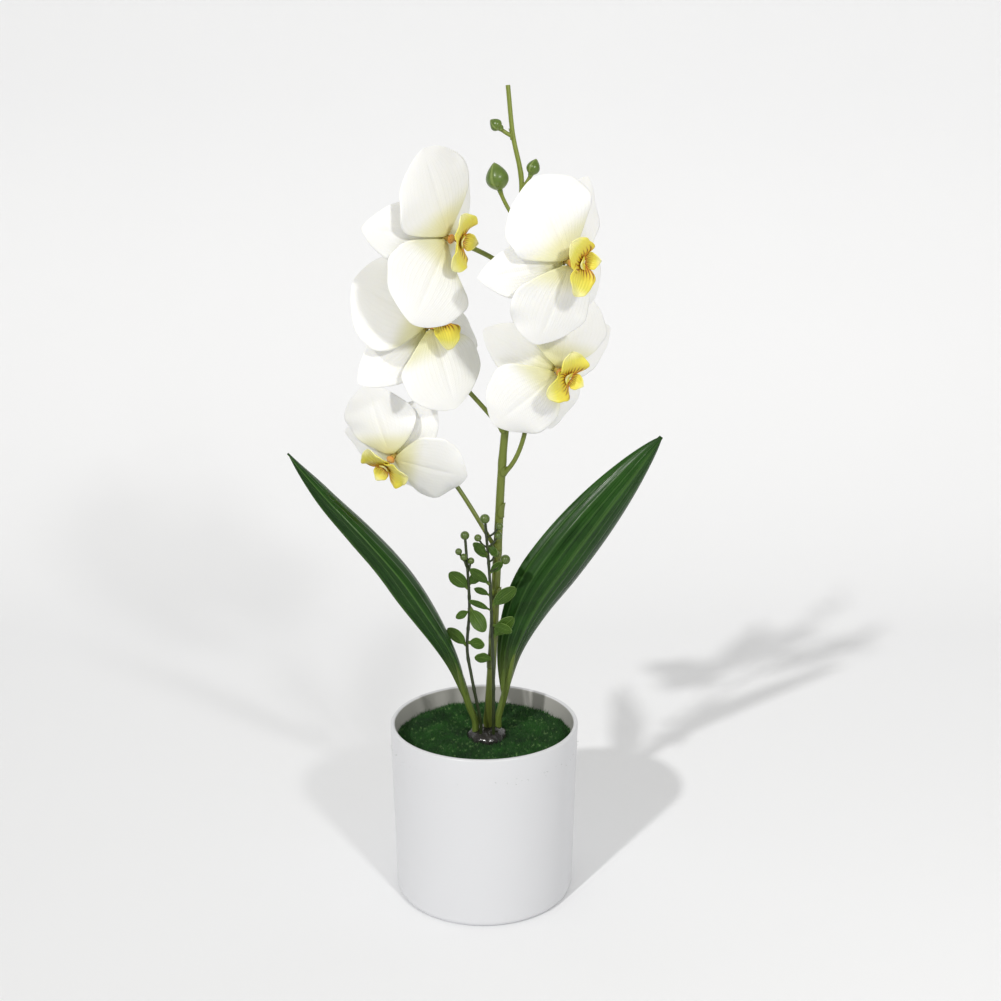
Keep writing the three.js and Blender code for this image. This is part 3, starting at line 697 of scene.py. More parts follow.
def path_object(name, at, radius, steps):
    """A curve object along a path, which carries a radius at each point."""
    curve = bpy.data.curves.new(name, "CURVE")
    curve.dimensions = "3D"
    line = curve.splines.new("POLY")
    line.points.add(steps)
    for i in range(steps + 1):
        point = line.points[i]
        point.co = (*(at(i / steps) * MM), 1)
        point.radius = radius(i / steps) * MM
    return bpy.data.objects.new(name, curve)


stalk_maker = stalk_tree(finishes["stem"])


def stalk_mesh(name, at, radius, steps, sides=20, spacing=60.0, swell=0.0):
    """A round stalk along a path; spacing and swell are those of its joints."""
    values = {"Sides": sides, "Joint spacing": spacing * MM, "Joint swell": swell}
    mesh = run_tree(path_object(name, at, radius, steps), stalk_maker, values, name)
    made = bmesh.new()
    made.from_mesh(mesh)
    bmesh.ops.remove_doubles(made, verts=made.verts, dist=1e-6)
    bmesh.ops.recalc_face_normals(made, faces=made.faces)
    made.to_mesh(mesh)
    made.free()
    mesh.shade_smooth()
    return mesh


def joined_mesh(name, meshes):
    """One mesh from several, each keeping its own material."""
    made = bmesh.new()
    result = bpy.data.meshes.new(name)
    for mesh in meshes:
        for material in mesh.materials:
            if material.name not in result.materials:
                result.materials.append(material)
    for mesh in meshes:
        start = len(made.faces)
        made.from_mesh(mesh)
        made.faces.ensure_lookup_table()
        own = [result.materials.find(m.name) for m in mesh.materials]
        for face in made.faces[start:]:
            face.material_index = own[min(face.material_index, len(own) - 1)]
    made.to_mesh(result)
    made.free()
    result.shade_smooth()
    return result


# ------------------------------------------------------------------ pot, moss, plug and foam
POT_WALL, POT_TAPER = 2.4, 0.954
BED_SINK, EDGE_SINK = 0.6, 1.4
pot_low, pot_high = corners("pot")
pot_height = pot_high.z
pot_top_radius = (pot_high.x - pot_low.x) / 2
pot_bottom_radius = pot_top_radius * POT_TAPER
moss_low, moss_high = corners("moss_disc")
moss_top = moss_high.z


def pot_radius(z):
    """The outside of the pot's tapered wall at a height."""
    return mix(pot_bottom_radius, pot_top_radius, z / pot_height)


def make_pot():
    """A thin tapered shell with a rounded heel and rim, and a shallow hollow underneath."""
    heel, rim, floor = 3.5, 1.15, 3.0
    foot_width, foot_slope, foot_rise = 2.2, 1.0, 0.9
    heel_radius = pot_radius(heel)
    foot_inside = heel_radius - heel - foot_width
    rim_outer = pot_radius(pot_height - rim)
    rim_inner = rim_outer - POT_WALL
    wall = [(pot_radius(z), z) for z in (20, 40, 60, 80)]
    profile = [
        (0, foot_rise),
        (foot_inside - foot_slope, foot_rise),
        (foot_inside, 0.0),
        *arc(heel_radius - heel, heel, heel, -90, 0, 10),
        *wall,
        *arc(rim_outer - rim, pot_height - rim, rim, 0, 90, 6),
        *arc(rim_inner + rim, pot_height - rim, rim, 90, 180, 6),
        (pot_radius(86) - POT_WALL, 86),
        (pot_radius(60) - POT_WALL, 60),
        (pot_radius(floor) - POT_WALL, floor),
        (0, floor),
    ]
    mesh = mesh_from("pot_shell", [turned(profile, 160)], finishes["pot"])
    finish(mesh, "pot_shell", "pot", "pot")


def moss_height(x, y):
    """The bed under the flock: lumpy, and sunk towards the wall of the pot."""
    edge = ease(math.hypot(x, y), 38, 46.4)
    broad = noise.noise(Vector((x, y, 3.0)) * 0.11) * 0.9
    small = noise.noise(Vector((x, y, 9.0)) * 0.3) * 0.5
    return moss_top - BED_SINK + (broad + small) - EDGE_SINK * edge


def make_moss_bed():
    radius = (moss_high.x - moss_low.x) / 2
    rings, facets = 34, 96
    profile = [(0, moss_low.z)]
    profile += [(radius * i / 6, moss_low.z) for i in range(1, 7)]
    profile += [(radius * (1 - i / rings), moss_top) for i in range(rings + 1)]
    points, faces, coordinates = turned(profile, facets)
    for point in points:
        if point.z > moss_low.z + 0.1:
            point.z = moss_height(point.x, point.y)
    bed = mesh_from("moss_bed", [(points, faces, coordinates)], finishes["moss_bed"])
    finish(bed, "moss_bed", "moss", "moss_disc")
    return bed


# For each layer: fibres per square metre, their length and root radius in millimetres, and
# their greatest lean in radians.
FLOCK_LAYERS = [(3.4e6, 2.2, 0.26, 1.15), (3.4e6, 2.8, 0.2, 0.9), (1.2e6, 3.6, 0.17, 0.8)]
FLOCK_SEED = 11
HALF_TURN = 3.14


def flock_tree(material):
    """Thin cones that stand on the upper side of a mesh, each leaning its own way."""
    tree, entry = new_tree(
        "moss_flock",
        {
            "Fibres per square metre": "Float",
            "Fibre length": "Float",
            "Fibre root radius": "Float",
            "Lean": "Float",
            "Seed": "Int",
        },
    )
    normal = tree_node(tree, "GeometryNodeInputNormal").outputs[0]
    facing = tree_node(tree, "ShaderNodeSeparateXYZ", {"Vector": normal}).outputs["Z"]
    upward = tree_node(
        tree,
        "FunctionNodeCompare",
        {0: facing, 1: 0.25},
        data_type="FLOAT",
        operation="GREATER_THAN",
    )
    spread = tree_node(
        tree,
        "GeometryNodeDistributePointsOnFaces",
        {
            "Mesh": entry["Geometry"],
            "Selection": upward.outputs[0],
            "Density": entry["Fibres per square metre"],
            "Seed": entry["Seed"],
        },
    )
    fibre = tree_node(
        tree,
        "GeometryNodeMeshCone",
        {
            "Vertices": 3,
            "Side Segments": 1,
            "Fill Segments": 1,
            "Radius Top": 0.0,
            "Radius Bottom": entry["Fibre root radius"],
            "Depth": entry["Fibre length"],
        },
    )
    up_turn = tree_node(
        tree, "FunctionNodeAlignRotationToVector", {"Vector": spread.outputs["Normal"]}, axis="Z"
    )
    back_lean = tree_sums(tree, "MULTIPLY", entry["Lean"], -1.0)
    low_turns = {"X": back_lean, "Y": back_lean, "Z": -HALF_TURN}
    high_turns = {"X": entry["Lean"], "Y": entry["Lean"], "Z": HALF_TURN}
    corner_low = tree_node(tree, "ShaderNodeCombineXYZ", low_turns)
    corner_high = tree_node(tree, "ShaderNodeCombineXYZ", high_turns)
    lean = tree_node(
        tree,
        "FunctionNodeRandomValue",
        {0: corner_low.outputs[0], 1: corner_high.outputs[0], "Seed": entry["Seed"]},
        data_type="FLOAT_VECTOR",
    )
    as_turn = tree_node(tree, "FunctionNodeEulerToRotation", {0: lean.outputs[0]})
    both = tree_node(
        tree, "FunctionNodeRotateRotation", {0: up_turn.outputs[0], 1: as_turn.outputs[0]}
    )
    both.rotation_space = "LOCAL"
    size = tree_node(
        tree,
        "FunctionNodeRandomValue",
        {2: 0.45, 3: 1.25, "Seed": entry["Seed"]},
        data_type="FLOAT",
    )
    placed_fibres = tree_node(
        tree,
        "GeometryNodeInstanceOnPoints",
        {
            "Points": spread.outputs["Points"],
            "Instance": fibre.outputs["Mesh"],
            "Rotation": both.outputs[0],
            "Scale": size.outputs[1],
        },
    )
    end_tree(tree, placed_fibres.outputs[0], material)
    return tree


def make_moss():
    bed = make_moss_bed()
    tree = flock_tree(finishes["moss"])
    for number, (count, length, radius, lean) in enumerate(FLOCK_LAYERS):
        source = bpy.data.objects.new("moss_source", bed.copy())
        values = {
            "Fibres per square metre": count,
            "Fibre length": length * MM,
            "Fibre root radius": radius * MM,
            "Lean": lean,
            "Seed": FLOCK_SEED + number,
        }
        name = f"moss_fibres_{number + 1}"
        finish(run_tree(source, tree, values, name), name, "moss")


def make_plug():
    """A low, lumpy dome of set glue around the feet of the stems."""
    low, high = corners("stem_plug")
    centre = (low + high) / 2
    radius = (high.x - low.x) / 2
    base, rise, steps = low.z - BED_SINK, high.z - low.z, 14
    profile = [(0, base)]
    for i in range(steps):
        a = math.radians(90 * i / steps)
        profile.append((radius * 0.98 * math.cos(a) ** 0.8, base + rise * math.sin(a)))
    profile.append((0, base + rise))
    points, faces, coordinates = turned(profile, 64, (centre.x, centre.y))
    for point in points:
        out = Vector((point.x - centre.x, point.y - centre.y, 0))
        rough = noise.noise(point * 0.32) * 1.1 + noise.noise(point * 0.8) * 0.35
        share = clamp((point.z - low.z) / rise)
        point += out.normalized() * rough * 0.9 if out.length > 0.01 else Vector()
        point.z += rough * 0.7 * share
    mesh = mesh_from("glue_plug", [(points, faces, coordinates)], finishes["plug"])
    finish(mesh, "glue_plug", "plug", "stem_plug")


make_pot()
make_moss()
make_plug()
foam_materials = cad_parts["foam_filler"].data.materials
foam_materials.clear()
foam_materials.append(finishes["foam"])

# ------------------------------------------------------------------ stem
PLANTED_DEPTH, RISE_ABOVE_PLUG = 38, 3
foot_low = moss_top - PLANTED_DEPTH
foot_top = corners("stem_plug")[1].z + RISE_ABOVE_PLUG
STEM_FOOT = (2, 0)
STEM_ROUTE = [
    (2.4, 0, 100),
    (4.8, 0, 139),
    (7.4, 0, 194),
    (10, 0, 240),
    (14.6, 0, 284),
    (17.2, 0, 320),
    (17.4, 0, 350),
    (18.8, 0, 373),
    (14.6, 0, 394),
    (12.2, 0, 416.5),
]


def foot_points(foot):
    """The straight start of a route, from deep in the pot to just above the plug."""
    x, y = foot
    return [(x, y, foot_low), (x, y, foot_top - RISE_ABOVE_PLUG), (x, y, foot_top)]


stem_path = spline([*foot_points(STEM_FOOT), *STEM_ROUTE])


def stem_radius(t):
    return mix(2.3, 1.1, ease(t, 0.3, 1.0))


def stem_at(z):
    """The stem's centre and radius at a height."""
    low, high = 0.0, 1.0
    for _ in range(40):
        half = (low + high) / 2
        if stem_path(half).z < z:
            low = half
        else:
            high = half
    return stem_path(low), stem_radius(low)


def bract(foot, away, radius, length, width):
    """A small clasping scale on the stem, under a stalk or a joint."""
    out = Vector((away.x, away.y, 0)).normalized()
    across = UP.cross(out)

    def surface(t, v):
        half = max(width * math.sin(math.pi * (0.12 + 0.86 * t) ** 0.8) ** 0.7, 0.15)
        a = v * half / radius
        r = radius + 0.15 + 0.9 * t * t
        point = foot + out * (r * math.cos(a)) + across * (r * math.sin(a))
        return point + UP * (length * (t - 0.25))

    return sheet(surface, 10, 8, lambda t, v: 0.45 * (1 - 0.6 * t))


# The height of each bare joint and the side, left or right, that its scale is on.
STEM_JOINTS = [(126, -1), (163, 1), (208, 1)]


def make_stem(flowers, buds):
    stem = stalk_mesh("stem_core", stem_path, stem_radius, 200, 24, 47.0, 0.05)
    scales = []
    places = [(f["leaves"][0], Vector(f["at"])) for f in flowers]
    places += [(b["from"], Vector(b["base"])) for b in buds]
    for height, goal in places:
        centre, radius = stem_at(height)
        scales.append(bract(centre, goal - centre, radius, 5.2, radius * 1.25))
    for height, side in STEM_JOINTS:
        centre, radius = stem_at(height)
        scales.append(bract(centre, Vector((side, -0.6, 0)), radius, 8.0, radius * 1.5))
    scale_mesh = mesh_from("stem_scales", scales, finishes["stem"])
    mesh = joined_mesh("flower_stem_finished", [stem, scale_mesh])
    finish(mesh, "flower_stem_finished", "stem", "flower_stem")


# ------------------------------------------------------------------ flowers
# turn: the flower's yaw, pitch and roll in degrees.
# swing, lifts, twists: what its left and right petals add to the common angles.
# leaves: height on the stem, turn from the straight way, reach outwards, reach upwards.
# arrives: how far behind, below and beside the flower its stalk bends in.
FLOWERS = [
    {
        "name": "flower_a",
        "turn": (56, -12, 88),
        "size": 1,
        "swing": (-11, 14),
        "lifts": (16, 4),
        "twists": (18, 0),
        "leaves": (324, 12, 8, 16),
        "arrives": (22.1, 10.9, -2.2),
    },
    {
        "name": "flower_b",
        "turn": (38, -10, 104),
        "size": 0.95,
        "swing": (-6, 0),
        "lifts": (0, 0),
        "twists": (0, 0),
        "leaves": (317.3, 6, 23.6, 11.2),
        "arrives": (29.9, 6.6, -19.7),
    },
    {
        "name": "flower_c",
        "turn": (40, 13, 124),
        "size": 1,
        "swing": (0, 6),
        "lifts": (4, 4),
        "twists": (0, 0),
        "leaves": (251, -21, 8.6, 12.6),
        "arrives": (10.2, -1.1, -3.2),
    },
    {
        "name": "flower_d",
        "turn": (28, -15, 64),
        "size": 0.95,
        "swing": (0, -4),
        "lifts": (0, -4),
        "twists": (0, 0),
        "leaves": (229, 2, 20, 17),
        "arrives": (21, -3, -5),
    },
    {
        "name": "flower_e",
        "turn": (-28, -30, -42),
        "size": 0.9,
        "swing": (-18, 0),
        "lifts": (-6, -2),
        "twists": (0, 0),
        "leaves": (190, -10, 10.7, 16.5),
        "arrives": (21.6, -3.3, 6.7),
    },
]
PETAL = {"length": 41, "width": 50, "spread": 73, "lift": -7, "bend": -10, "cup": -0.07, "claw": 0.75}
SEPAL = {"length": 42, "width": 28, "spread": 132, "lift": -9, "bend": -20, "cup": -0.05, "claw": 0.7}
EAR = {"length": 17, "width": 15, "spread": 50, "lift": 40, "bend": -38, "cup": 0.28, "claw": 0.45}
HOOD = {"length": 7, "width": 6, "spread": 0, "lift": 66, "bend": -40, "cup": 0.3, "claw": 0.7}
TONGUE = {"length": 9, "width": 8, "spread": 180, "lift": 36, "bend": 30, "cup": 0.3, "claw": 0.7}
PETAL_HEIGHT, SEPAL_HEIGHT, PETAL_HOLE = 0.7, -1.7, 2
LIP_DROP, LIP_REACH = 4, 4.2
KNOB = {"radius": 1.3, "beside": 1.5, "above": 1.1, "out": 1.7}
COLUMN = {"back": -2.8, "start": 1.55, "cap": 2.2, "radius": 1.6, "cap_radius": 2.3}
TIP_PACE = 1.7
STALK_GAP, STALK_NECK = 0.3, 2.5


def flower_axes(yaw, pitch, roll):
    """A flower's right, up and front; without a turn it faces -Y."""
    a, b, c = (math.radians(x) for x in (yaw, pitch, roll))
    front = Vector((math.sin(a) * math.cos(b), -math.cos(a) * math.cos(b), math.sin(b)))
    level = (UP - front * front.z).normalized()
    right = level.cross(front)
    up = level * math.cos(c) - right * math.sin(c)
    return up.cross(front), up, front


def flower_matrix(flower):
    """The flower's own frame; its centre comes from the column's box."""
    side, up, front = flower_axes(*flower["turn"])
    middle_offset = column_middle(side, up, front)
    centre = middle(flower["name"] + "_column") - middle_offset
    matrix = Matrix((side, up, front)).transposed().to_4x4()
    matrix.translation = centre
    return matrix


def column_middle(side, up, front):
    """Where the middle of the solid column's box lies from the flower's centre."""
    low = Vector((1e9,) * 3)
    high = Vector((-1e9,) * 3)
    c = COLUMN
    facets, cap_rings = 8, 4
    rings = [(c["back"], c["radius"]), (c["start"], c["radius"])]
    for i in range(cap_rings):
        a = math.radians(mix(-45, 70, i / (cap_rings - 1)))
        rings.append((c["start"] + c["cap"] * (1 + math.sin(a)) / 2, c["cap_radius"] * math.cos(a)))
    rings.append((c["start"] + c["cap"], 0))
    for height, radius in rings:
        for j in range(facets):
            a = 2 * math.pi * j / facets
            p = side * (radius * math.cos(a)) + up * (radius * math.sin(a)) + front * height
            low = Vector(map(min, low, p))
            high = Vector(map(max, high, p))
    return (low + high) / 2


def blade(
    shape,
    angle,
    lift,
    start,
    height,
    tip_power,
    fullness,
    foot=(0, 0),
    size=1.0,
    wave=None,
    twist=0,
):
    """A lobe in the flower's plane at an angle from its top, lifted and bent out of the plane.

    A tip_power under 1 sets the widest part nearer the foot, and a fullness under 1 makes the
    outline rounder.
    """
    a = math.radians(angle)
    along = Vector((-math.sin(a), math.cos(a), 0))
    across = Vector((-math.cos(a), -math.sin(a), 0))
    length, width = shape["length"] * size, shape["width"] * size
    steps = 24
    claw_reach, twist_reach, narrowest = 0.35, 0.4, 0.3
    path = [(start, height)]
    for i in range(1, steps + 1):
        slope = math.radians(lift + shape["bend"] * i / steps)
        x, z = path[-1]
        path.append((x + math.cos(slope) * length / steps, z + math.sin(slope) * length / steps))
    origin = Vector((foot[0], foot[1], 0))

    def surface(t, v):
        k = clamp(t * steps, 0, steps - 1e-6)
        i = int(k)
        x = mix(path[i][0], path[i + 1][0], k - i)
        z = mix(path[i][1], path[i + 1][1], k - i)
        slope = math.radians(lift + shape["bend"] * t)
        body = math.sin(math.pi * clamp(t, 0.012, 0.9996) ** tip_power) ** fullness
        claw = mix(shape["claw"], 1, ease(t, 0, claw_reach))
        half = max(width / 2 * body * claw, narrowest)
        rise = shape["cup"] * half * v * v
        if wave:
            rise += wave(t, v)
        turn = math.radians(twist) * ease(t, 0, twist_reach)
        out = half * v * math.sin(turn) + rise * math.cos(turn)
        point = origin + along * (x - math.sin(slope) * out)
        point += across * (half * v * math.cos(turn) - rise * math.sin(turn))
        point.z += z + math.cos(slope) * out
        return point

    return surface


def ruffle(seed, amount, groove, creases=0.0):
    """The small waves along a petal's rim, its sunken midrib and its fanned creases."""
    draw = random.Random(seed)
    phases = [draw.uniform(0, 2 * math.pi) for _ in range(4)]
    turns = [draw.uniform(1.1, 1.7), draw.uniform(2.3, 3.2)]
    tilt = draw.uniform(-0.5, 0.5) * amount

    def wave(t, v):
        side = 0 if v < 0 else 2
        rim = abs(v) ** 2.2
        w = math.sin(turns[0] * 2 * math.pi * t + phases[side])
        w += 0.45 * math.sin(turns[1] * 2 * math.pi * t + phases[side + 1])
        calm = 1 - ease(t, 0.8, 1)
        lift = amount * rim * w * ease(t, 0.02, 0.3) * mix(0.15, 1, calm) + tilt * v * t * calm
        midrib = math.exp(-((v / 0.055) ** 2)) * ease(t, 0.0, 0.2) * (1 - ease(t, 0.6, 0.95))
        lift -= groove * midrib
        if creases:
            fan = math.cos(v * 15.0 + 0.4 * math.sin(5 * t + phases[0]))
            lift += creases * fan * ease(t, 0.03, 0.2) * (1 - ease(t, 0.55, 0.95))
        return lift

    return wave


def uneven_rim(seed, amount):
    """How far a petal's rim stands in or out of its drawn outline, along each side."""
    draw = random.Random(seed + "rim")
    phases = [draw.uniform(0, 2 * math.pi) for _ in range(4)]

    def share(t, v):
        side = 0 if v < 0 else 2
        swing = math.sin(8.2 * t + phases[side]) + 0.5 * math.sin(21 * t + phases[side + 1])
        return 1 + amount * swing * abs(v) * (1 - ease(t, 0.85, 1))

    return share


def trimmed(surface, rim):
    """A surface whose outline follows an uneven rim."""
    return lambda t, v: surface(t, v * rim(t, v))


def thin_rim(middle_thickness, rim_thickness):
    """A thickness that falls off towards both edges and the tip."""
    def thickness(t, v):
        rim = max(abs(v) ** 3, ease(t, 0.8, 1.0))
        return mix(middle_thickness, rim_thickness, rim)

    return thickness


def make_tepals(flower, matrix):
    """A flower's two petals and the three sepals behind them."""
    left_swing, right_swing = flower["swing"]
    left_lift, right_lift = flower["lifts"]
    left_twist, right_twist = flower["twists"]
    parts = [
        ("petal_left", PETAL, PETAL["spread"] + left_swing, left_lift, left_twist),
        ("petal_right", PETAL, -PETAL["spread"] + right_swing, right_lift, right_twist),
        ("sepal_top", SEPAL, 0, 0, 0),
        ("sepal_left", SEPAL, SEPAL["spread"], 0, 0),
        ("sepal_right", SEPAL, -SEPAL["spread"], 0, 0),
    ]
    for name, shape, angle, lift, twist in parts:
        node = f"{flower['name']}_{name}"
        is_petal = shape is PETAL
        surface = blade(
            shape,
            angle,
            shape["lift"] + lift,
            PETAL_HOLE,
            PETAL_HEIGHT if is_petal else SEPAL_HEIGHT,
            0.98 if is_petal else 0.86,
            0.62 if is_petal else 0.72,
            size=flower["size"],
            wave=ruffle(node, 0.95 if is_petal else 0.5, 0.4, 0.02),
            twist=twist,
        )
        outline = trimmed(surface, uneven_rim(node, 0.025))
        across = 36 if is_petal else 26
        shell = sheet(outline, 46, across, thin_rim(0.75, 0.32), TIP_PACE)
        mesh = mesh_from(node + "_cloth", [placed(shell, matrix)], finishes["petal"])
        finish(mesh, node + "_cloth", "petal", node)


def make_lip(flower, matrix):
    """Two ears beside a hood, a short tongue and the raised throat."""
    name = flower["name"]
    foot = (0, -LIP_DROP)

    def lobe(shape, side, fullness, along, across, seed, amount):
        surface = blade(
            shape,
            side * shape["spread"],
            shape["lift"],
            0,
            LIP_REACH,
            0.95,
            fullness,
            foot=foot,
            wave=ruffle(name + seed, amount, 0.25, 0.04),
        )
        outline = trimmed(surface, uneven_rim(name + seed, 0.05))
        return sheet(outline, along, across, thin_rim(0.95, 0.4), TIP_PACE)

    shells = [
        lobe(EAR, 1, 0.55, 28, 24, "left", 0.85),
        lobe(EAR, -1, 0.55, 28, 24, "right", 0.85),
        lobe(HOOD, 1, 0.62, 18, 16, "hood", 0.15),
        lobe(TONGUE, 1, 0.8, 18, 16, "tongue", 0.2),
    ]
    size = KNOB["radius"]
    knob = turned([(0, -size), *arc(0, 0, size, -60, 60, 6), (0, size)], 14)
    for side in (-1, 1):
        centre = (side * KNOB["beside"], -LIP_DROP + KNOB["above"], LIP_REACH + KNOB["out"])
        turn = Matrix.Rotation(math.radians(90), 4, "X")
        shells.append(placed(knob, Matrix.Translation(centre) @ turn))
    root = Vector((0, -PETAL_HOLE - 1.6, PETAL_HEIGHT + 1.6))
    bowl = Vector((0, -LIP_DROP - 0.6, LIP_REACH + 0.6))
    claw = by_length([root, (root + bowl) / 2 + Vector((0, -0.5, 0)), bowl])
    shells.append(tube_shell(claw, lambda t: mix(1.2, 1.9, t), 16, 8))
    shells = [placed(shell, matrix) for shell in shells]
    mesh = mesh_from(name + "_lip_painted", shells, finishes["lip"])
    finish(mesh, name + "_lip_painted", "lip", name + "_lip")


def make_column(flower, matrix):
    """The column, with a cap that is narrowed and bent down into a beak."""
    c = COLUMN
    name = flower["name"]
    radius, cap_radius = c["radius"], c["cap_radius"]
    cap = []
    for degrees in range(-60, 90, 10):
        a = math.radians(degrees)
        cap.append((cap_radius * math.cos(a), c["start"] + c["cap"] * (1 + math.sin(a)) / 2))
    profile = [
        (0, c["back"]),
        (radius * 0.9, c["back"]),
        (radius, c["back"] + 0.2),
        (radius, 0),
        (radius * 0.94, c["start"] - 0.4),
        *cap,
        (0, c["start"] + c["cap"]),
    ]
    points, faces, coordinates = turned(profile, 28)
    for point in points:
        beak = ease(point.z, c["start"] + 0.6, c["start"] + c["cap"])
        point.y -= 0.7 * beak
        if point.z > c["start"]:
            point.x *= 1 - 0.18 * beak
            if point.y < -0.6:
                point.z -= 0.5 * beak
    shell = placed((points, faces, coordinates), matrix)
    mesh = mesh_from(name + "_column_cap", [shell], finishes["column"])
    finish(mesh, name + "_column_cap", "column", name + "_column")


def make_flower_stalk(flower, matrix):
    """The stalk, wider where it leaves the stem and where it seats behind the flower."""
    side, up, front = (Vector(matrix.col[i][:3]) for i in range(3))
    centre = Vector(matrix.translation)
    flower["at"] = centre
    height, turn, out, rise = flower["leaves"]
    behind, below, beside = flower["arrives"]
    end = centre + front * (COLUMN["back"] - STALK_GAP)
    neck = end - front * STALK_NECK
    start, radius = stem_at(height)
    away = end - start
    away.z = 0
    away = Matrix.Rotation(math.radians(turn), 3, "Z") @ away.normalized()
    start = start + away * (radius * 0.6)
    first = start + away * out + UP * rise
    last = neck - front * behind - up * below + side * beside
    path = by_length([*bezier(start, first, last, neck), end])
    length = path.length

    def thickness(t):
        from_end = (1 - t) * length
        seat = ease(3.6 - from_end, 0, 3.6)
        base = ease(3.0 - t * length, 0, 3.0)
        return 1.18 + 1.3 * seat + 0.5 * base

    name = flower["name"] + "_stalk"
    mesh = stalk_mesh(name + "_finished", path, thickness, 72, 18)
    finish(mesh, name + "_finished", "stem", name)


for flower in FLOWERS:
    matrix = flower_matrix(flower)
    make_flower_stalk(flower, matrix)
    make_tepals(flower, matrix)
    make_lip(flower, matrix)
    make_column(flower, matrix)

# ------------------------------------------------------------------ buds
# from: the height at which a bud's stalk leaves the stem.
BUDS = [
    {"name": "bud_large", "from": 352, "base": (8.4, -3, 368.2), "tip": (5.6, -4, 381.2), "radius": 5.6},
    {"name": "bud_right", "from": 369, "base": (23.2, -1, 375.4), "tip": (25.9, -1, 383), "radius": 3.3},
    {"name": "bud_small", "from": 393, "base": (8.8, -1, 396.6), "tip": (3.8, -1, 400.8), "radius": 3},
]


def make_bud(bud):
    """An egg with three shallow seams, the scale at its foot and its stalk."""
    name = bud["name"]
    base, tip = Vector(bud["base"]), Vector(bud["tip"])
    axis = tip - base
    length = axis.length
    rings = 26
    profile = [(0, 0)]
    for i in range(1, rings):
        t = i / rings
        profile.append((bud["radius"] * math.sin(math.pi * t**0.8) ** 0.8, length * t))
    profile.append((0, length))
    points, faces, coordinates = turned(profile, 48)
    for point in points:
        a = math.atan2(point.y, point.x)
        t = point.z / length
        from_seam = (1 - math.cos(3 * a)) / 2
        groove = math.exp(-(from_seam / 0.03)) * 0.07 * math.sin(math.pi * clamp(t))
        point.x *= 1 - groove
        point.y *= 1 - groove
    turn = UP.rotation_difference(axis.normalized()).to_matrix().to_4x4()
    turn.translation = base
    egg = placed((points, faces, coordinates), turn)
    centre, stem_size = stem_at(bud["from"])
    start = centre + (base - centre).normalized() * stem_size * 0.5
    bend = base - axis * 0.35
    inside = base + axis * 0.12
    steps = 14
    line = []
    for i in range(steps + 1):
        t = i / steps
        line.append(start * (1 - t) ** 2 + bend * (2 * t * (1 - t)) + inside * t * t)

    def thickness(t):
        return 0.95 + 0.45 * ease(t, 0.75, 1.0)

    stalk = stalk_mesh(name + "_neck", by_length(line), thickness, 28, 14)
    scale = bract(base - axis * 0.02, Vector((0, -1, 0)), 1.1, 2.6, 1.0)
    egg_mesh = mesh_from(name + "_egg", [egg, scale], finishes["bud"])
    mesh = joined_mesh(name + "_finished", [egg_mesh, stalk])
    finish(mesh, name + "_finished", "bud", name)


for bud in BUDS:
    make_bud(bud)
make_stem(FLOWERS, BUDS)

# ------------------------------------------------------------------ strap leaves
LEAVES = [
    {
        "name": "leaf_left",
        "foot": (-4.6, -3),
        "width": 37,
        "neck": 0.42,
        "fold": 34,
        "sides": ((0.55, -0.8, 0.1), (0.5, -0.86, 0.1)),
        "route": [
            (-8.4, -4.6, 106),
            (-14, -7, 130),
            (-25, -10, 157),
            (-39.5, -14, 183),
            (-56, -17, 203),
            (-75, -20, 222.5),
            (-95, -22, 243.8),
        ],
    },
    {
        "name": "leaf_right",
        "foot": (7.4, 2.4),
        "width": 40,
        "neck": 0.6,
        "fold": 30,
        "sides": ((-0.78, -0.5, 0.35), (-0.72, -0.25, 0.6)),
        "route": [
            (10.6, 4, 106),
            (16, 7, 130),
            (27.5, 10, 154),
            (43, 13, 176),
            (60, 16, 199),
            (77, 18, 222),
            (93, 20, 244),
        ],
    },
]


MIDRIB_DEPTH, EDGE_WAVE, VEIN_RIDGE = 0.75, 0.55, 0.09


